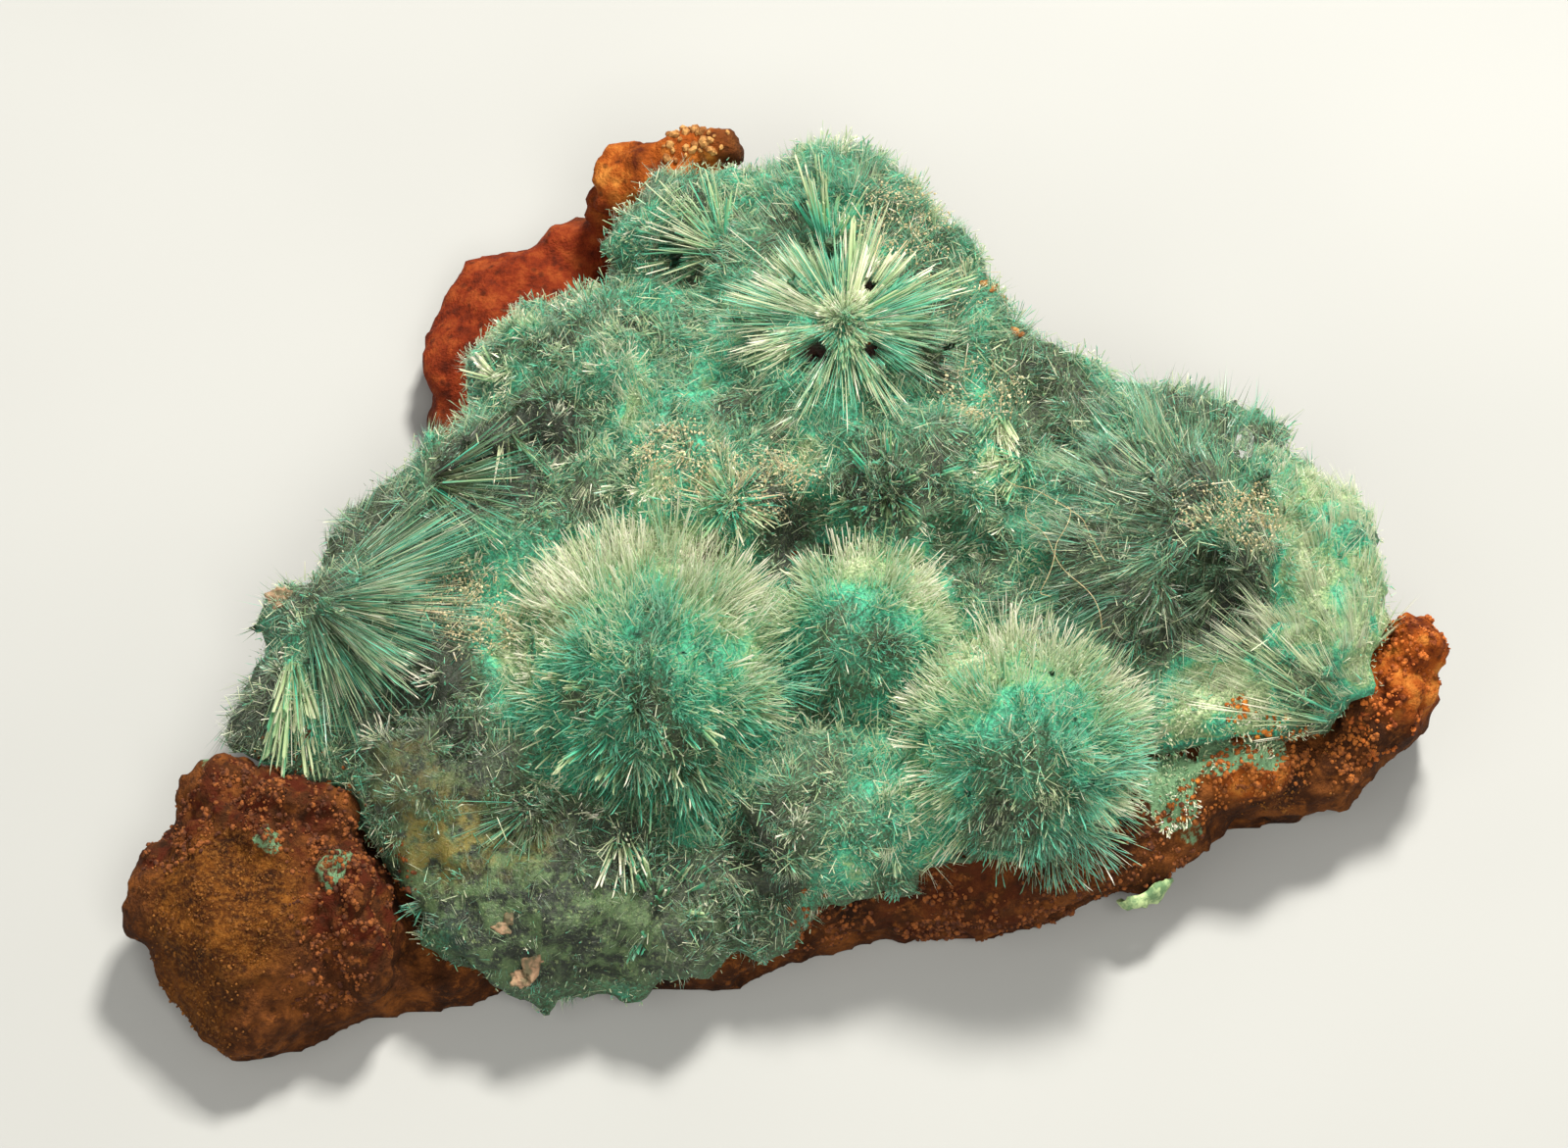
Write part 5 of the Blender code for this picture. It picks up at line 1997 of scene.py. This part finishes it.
@dataclass(frozen=True)
class ClearCrystal:
    """A small clear prism with pointed ends that lies in the fluff, one of its sides up."""

    name: str = "clear_crystal"
    spot: Vec3 = (21.9, 3.0, 13.2)
    axis: Vec3 = (0.2, 0.97, 0.0)
    top: Vec3 = (0.122, 0.004, 0.993)
    width: float = 0.9
    length: float = 1.8
    sides: int = 6

    def build(self) -> Thing:
        """Make the six-sided prism and point both its ends."""
        top = unit(np.array(self.top))
        along = unit(np.array(self.axis) - top * np.dot(self.axis, top))
        frame_of = np.stack([np.cross(top, along), top, along])
        angles = np.arange(self.sides) * math.tau / self.sides
        ring = np.stack([np.cos(angles), np.sin(angles) * 0.8], axis=1) * self.width / 2
        places = [(x * share, y * share, self.length * high) for high, share in ((-0.36, 1.0), (0.28, 0.94))
                  for x, y in ring]
        places += [(0.0, 0.0, -self.length / 2), (0.08, 0.05, self.length / 2)]
        points = np.array(self.spot) + np.array(places) @ frame_of
        faces = []
        for side in range(self.sides):
            after = (side + 1) % self.sides
            faces += [(side, after, after + self.sides, side + self.sides), (after, side, 2 * self.sides),
                      (side + self.sides, after + self.sides, 2 * self.sides + 1)]
        mesh = bpy.data.meshes.new(self.name)
        mesh.from_pydata((points * MM).tolist(), [], faces)
        mesh.materials.append(ClearFinish().make())
        return new_object(self.name, mesh)


@dataclass(frozen=True)
class Lint:
    """A few fine fibres of lint caught on the crust.

    ends holds where each fibre starts and ends. sway is how far it strays from the straight, in
    mm, and turns how often, for its slow and its quick bends.
    """

    finish: GrainFinish = GrainFinish("lint", srgb(150, 134, 92), srgb(196, 182, 140), 0.6)
    radius: float = 0.017
    steps: int = 40
    sway: Span = (0.45, 0.16)
    turns: Span = (5.0, 13.0)
    rise: float = 0.4
    ends: tuple[tuple[Vec3, Vec3], ...] = (
        ((11.4, 0.4, 12.3), (14.4, -6.4, 12.4)),
        ((12.9, -0.6, 12.4), (12.4, -5.2, 12.6)),
        ((10.6, 2.2, 12.3), (15.0, -2.8, 12.4)),
    )

    def build(self, rng: Chance) -> Thing:
        """Draw the fibres as wandering paths and give them their thickness.

        Args:
            rng: the source of chance.

        Returns:
            The piece.
        """
        bm = bmesh.new()
        for start, end in self.ends:
            share = np.linspace(0.0, 1.0, self.steps)[:, None]
            phase = rng.uniform(0.0, 6.28, (2, 3))
            bends = zip(self.turns, phase, self.sway)
            bend = sum(np.sin(share * turn + begun) * sway for turn, begun, sway in bends)
            bend[:, 2] *= self.rise
            points = np.array(start) * (1 - share) + np.array(end) * share + bend
            verts = [bm.verts.new(Vector(point) * MM) for point in points]
            for first, second in zip(verts, verts[1:]):
                bm.edges.new((first, second))
        paths = new_object(self.finish.name, mesh_from(bm, self.finish.name))
        return FibreTree().grow_on(paths, {"Radius": self.radius * MM, "Finish": self.finish.make()})


@dataclass(frozen=True)
class UndersideCrust:
    """The small pale crust that peeps out from under the rock."""

    voxel: float = 0.16
    smooth: int = 3
    relief: Layers = ((0.7, 0.0, 0.16),)
    knobs: Knobs = Knobs(0.5, 0.1, 0.24, 0.5)
    finish: GrainFinish = GrainFinish("pale_crust", srgb(96, 128, 88), srgb(176, 198, 142), 0.6)

    def build(self) -> Thing:
        """Melt the crust's solid into a fine skin and roughen it.

        Returns:
            The piece.
        """
        obj = skin_of("underside_crust", "underside_film", self.voxel, self.smooth)
        points, normals = mesh_points(obj.data), mesh_normals(obj.data)
        rise = layered(points, self.relief) + self.knobs.rise(points)
        rise *= smoothstep(0.0, 0.5, points[:, 2])
        points = points + normals * rise[:, None]
        points[:, 2] = np.maximum(points[:, 2], 0.0)
        write_points(obj.data, points)
        return dressed(obj, self.finish.make())


@dataclass
class Studio:
    """The pale floor, the soft lights and the camera.

    Places and sizes are in mm. A light has a name, a place, the side of its square, its power in
    watts and its colour.
    """

    target: Vec3 = (-0.3, -0.7, 7.0)
    elevation: float = 60.0
    lens: float = 110.0
    sensor: float = 36.0
    mm_per_pixel: float = 0.048
    pixels: int = 1600
    floor_half: float = 600.0
    sky: Colour = (1.0, 0.96, 0.89, 1.0)
    sky_strength: float = 0.25
    lights: tuple[tuple[str, Vec3, float, float, Vec3], ...] = (
        ("key", (70.0, 170.0, 280.0), 60.0, 2.2, (1.0, 0.95, 0.86)),
        ("fill", (-230.0, -160.0, 260.0), 240.0, 0.4, (1.0, 0.97, 0.91)),
        ("front", (60.0, -200.0, 300.0), 160.0, 0.9, (1.0, 0.96, 0.88)),
    )

    def build(self) -> None:
        """Set up the floor, the camera, the lights and the sky."""
        self.floor()
        self.camera()
        for light in self.lights:
            self.light(*light)
        world = bpy.data.worlds.new("studio")
        world.use_nodes = True
        sky = world.node_tree.nodes["Background"].inputs
        sky["Color"].default_value = self.sky
        sky["Strength"].default_value = self.sky_strength
        bpy.context.scene.world = world

    def floor(self) -> None:
        """Lay the floor."""
        bm = bmesh.new()
        bmesh.ops.create_grid(bm, x_segments=2, y_segments=2, size=self.floor_half * MM)
        floor = new_object("floor", mesh_from(bm, "floor"))
        floor.data.materials.append(FloorFinish().make())

    def camera(self) -> None:
        """Place the camera."""
        tilt = math.radians(self.elevation)
        distance = self.mm_per_pixel * self.lens / self.sensor * self.pixels
        back = Vector((0.0, -math.cos(tilt), math.sin(tilt)))
        data = bpy.data.cameras.new("camera")
        data.lens = self.lens
        data.sensor_width = self.sensor
        data.sensor_fit = "HORIZONTAL"
        data.clip_start = 0.01
        camera = new_object("camera", data)
        camera.location = (Vector(self.target) + back * distance) * MM
        camera.rotation_euler = (math.pi / 2 - tilt, 0.0, 0.0)
        bpy.context.scene.camera = camera

    def light(self, name: str, place: Vec3, size: float, power: float, colour: Vec3) -> None:
        """Hang a soft light that looks at the specimen.

        Args:
            name: the light's name.
            place: its place in mm.
            size: the side of its square in mm.
            power: its power in watts.
            colour: its colour.
        """
        data = bpy.data.lights.new(name, "AREA")
        data.size = size * MM
        data.energy = power
        data.color = colour
        lamp = new_object(name, data)
        lamp.location = Vector(place) * MM
        aim = Vector(self.target) - Vector(place)
        lamp.rotation_euler = aim.to_track_quat("-Z", "Y").to_euler()


def hand_over(piece: Thing, slot: str, *nodes: str) -> None:
    """Tie a piece to its body, hide the solids it stands for and log its triangles.

    Args:
        piece: the piece.
        slot: the material slot it would take its finish from; not used.
        *nodes: the solids it stands for.
    """
    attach(piece, BODY)
    if nodes:
        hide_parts(*nodes)
    piece.data.calc_loop_triangles()
    LOG.info("%s: %d triangles", piece.name, len(piece.data.loop_triangles))


def main() -> None:
    """Build the studio and every piece of the specimen."""
    logging.basicConfig(level=logging.INFO, format="%(message)s")
    bpy.context.scene.view_settings.view_transform = "Standard"
    Studio().build()
    rock = LimoniteRock().build()
    hand_over(rock, "limonite", "limonite_matrix")
    core = CrustCore().build()
    hand_over(core, "aurichalcite", "aurichalcite_crust")
    hand_over(UndersideCrust().build(), "pale_aurichalcite", "underside_crust")
    rng = np.random.default_rng(SEED)
    skins = (Skin(core.data), Skin(rock.data))
    solid = Skin(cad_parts["aurichalcite_crust"].data.copy())
    crystals = CrystalField(*skins, solid, rng).all()
    for piece in build_crystals(crystals, rng):
        hand_over(piece, "aurichalcite")
    grain_tree = GrainTree()
    for grains in GRAINS:
        hand_over(grains.build(rng, skins, grain_tree), "limonite")
    hand_over(Dust().build(rng, crystals, grain_tree), "limonite")
    hand_over(PinkLumps().build(), "pale_aurichalcite")
    hand_over(ClearCrystal().build(), "pale_aurichalcite")
    hand_over(Lint().build(rng), "pale_aurichalcite")


if __name__ == "__main__":
    main()
